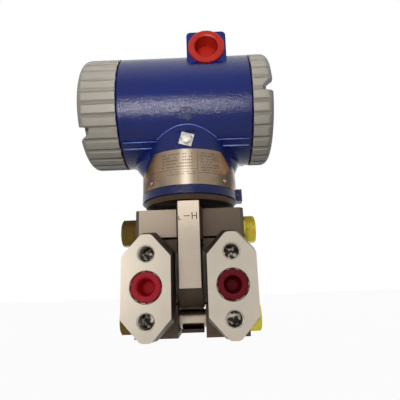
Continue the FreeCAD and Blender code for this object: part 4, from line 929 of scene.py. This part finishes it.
digit_strokes = []
row_half = (len(READING) - 1) / 2 * DIGIT_PITCH + DIGIT_WIDTH / 2
first_y = (screen_low.y + screen_high.y) / 2 + row_half
base_z = (screen_low.z + screen_high.z) / 2 - DIGIT_RISE
for place, digit in enumerate(READING):
    for segment in DIGITS[digit]:
        ends = [(first_y - place * DIGIT_PITCH - across * DIGIT_WIDTH, base_z + height * DIGIT_RISE)
                for across, height in SEGMENTS[segment]]
        digit_strokes.append(digit_stroke(*ends))
digit_ink = moulded_plastic("screen_ink", rgb(22, 26, 22), rgb(32, 36, 32), rough=0.4)
add_piece("screen_digits", digit_strokes, digit_ink, "topworks")

# %% [markdown]
# ## Floor, lamps and sky
# The part stands on a plain pale floor. A strip lamp close in front, aimed up at
# the blue cylinder, gives the long highlight there. A lamp at the left lights
# the flange faces, and large soft ones fill the top and the back. The sky is
# white where the camera, a reflection or glass looks at it, and softer where it
# only lights the part.

# %% Floor
FLOOR_HALF, FLOOR_DROP, FLOOR_GLOW = 4.0, 0.0002, 0.96


def pale_floor():
    """A broad sheet, nearly white to the camera and to reflections but still darkened by shadows."""
    points = np.array([[-1, -1], [1, -1], [1, 1], [-1, 1]]) * FLOOR_HALF
    grid = np.column_stack([points, np.full(4, cad_low.z - FLOOR_DROP)])
    mesh = bpy.data.meshes.new("floor")
    mesh.from_pydata(grid.tolist(), [], [[0, 1, 2, 3]])
    floor = bpy.data.objects.new("floor", mesh)
    bpy.context.scene.collection.objects.link(floor)
    finish = Finish("floor_paper", Roughness=0.9, Specular_IOR_Level=0.1)
    cloud = finish.noise(120, detail=2)
    finish.colour(finish.mix(cloud, rgb(188, 187, 185), rgb(196, 195, 193)))
    tree, output = finish.tree, finish.tree.nodes["Material Output"]
    rays = finish.tree.nodes.new("ShaderNodeLightPath")
    seen = Value(finish, rays.outputs["Is Camera Ray"]).most(Value(finish, rays.outputs["Is Glossy Ray"]))
    seen = seen.most(Value(finish, rays.outputs["Is Transmission Ray"]))
    glow = tree.nodes.new("ShaderNodeEmission")
    glow.inputs["Strength"].default_value = 1.0
    blend = tree.nodes.new("ShaderNodeMixShader")
    tree.links.new((seen * FLOOR_GLOW).socket, blend.inputs[0])
    tree.links.new(finish.shader.outputs[0], blend.inputs[1])
    tree.links.new(glow.outputs[0], blend.inputs[2])
    tree.links.new(blend.outputs[0], output.inputs["Surface"])
    mesh.materials.append(finish.material)


pale_floor()

# %% Lamps
def lamp(name, at, aim, width, height, watts, tint=(1.0, 1.0, 1.0), spread=180):
    """A rectangular lamp at a point, turned to face another, with its beam's full angle in degrees."""
    light = bpy.data.lights.new(name, "AREA")
    light.shape, light.size, light.size_y = "RECTANGLE", width, height
    light.energy, light.color = watts, tint
    light.spread = math.radians(spread)
    holder = bpy.data.objects.new(name, light)
    holder.location = at
    holder.rotation_mode = "QUATERNION"
    holder.rotation_quaternion = (Vector(aim) - Vector(at)).to_track_quat("-Z", "Y")
    holder.visible_camera = False
    bpy.context.scene.collection.objects.link(holder)
    print(name, "gives", watts, "W")


PART_CENTRE = (cad_low + cad_high) / 2
lamp("front_lamp", (-0.04, -0.30, 0.077), (0.0, 0.03, 0.204), 0.2, 0.016, 0.155, (1.0, 0.97, 0.92), 58)
lamp("side_lamp", (-0.28, -0.5, 0.0), (-0.02, 0.0, 0.0), 0.25, 0.3, 0.6, (1.0, 0.98, 0.95))
lamp("top_lamp", (0.05, -0.1, 0.95), PART_CENTRE, 0.9, 0.7, 0.9)
lamp("back_lamp", (0.35, 0.85, 0.45), PART_CENTRE, 0.7, 0.5, 1.2)

# %% Sky
SKY_FILL = 0.2

sky = bpy.data.worlds.new("studio")
sky.use_nodes = True
bpy.context.scene.world = sky
sky_nodes, sky_links = sky.node_tree.nodes, sky.node_tree.links
background = sky_nodes["Background"]
background.inputs["Color"].default_value = (1.0, 1.0, 1.0, 1.0)
rays = sky_nodes.new("ShaderNodeLightPath")
seen = rays.outputs["Is Camera Ray"]
for kind in ("Is Glossy Ray", "Is Transmission Ray"):
    either = sky_nodes.new("ShaderNodeMath")
    either.operation = "MAXIMUM"
    sky_links.new(seen, either.inputs[0])
    sky_links.new(rays.outputs[kind], either.inputs[1])
    seen = either.outputs[0]
strength = sky_nodes.new("ShaderNodeMapRange")
strength.inputs["To Min"].default_value = SKY_FILL
sky_links.new(seen, strength.inputs["Value"])
sky_links.new(strength.outputs[0], background.inputs["Strength"])
bpy.context.scene.view_settings.view_transform = "Standard"
print("sky fills at", SKY_FILL, "and shows at 1")
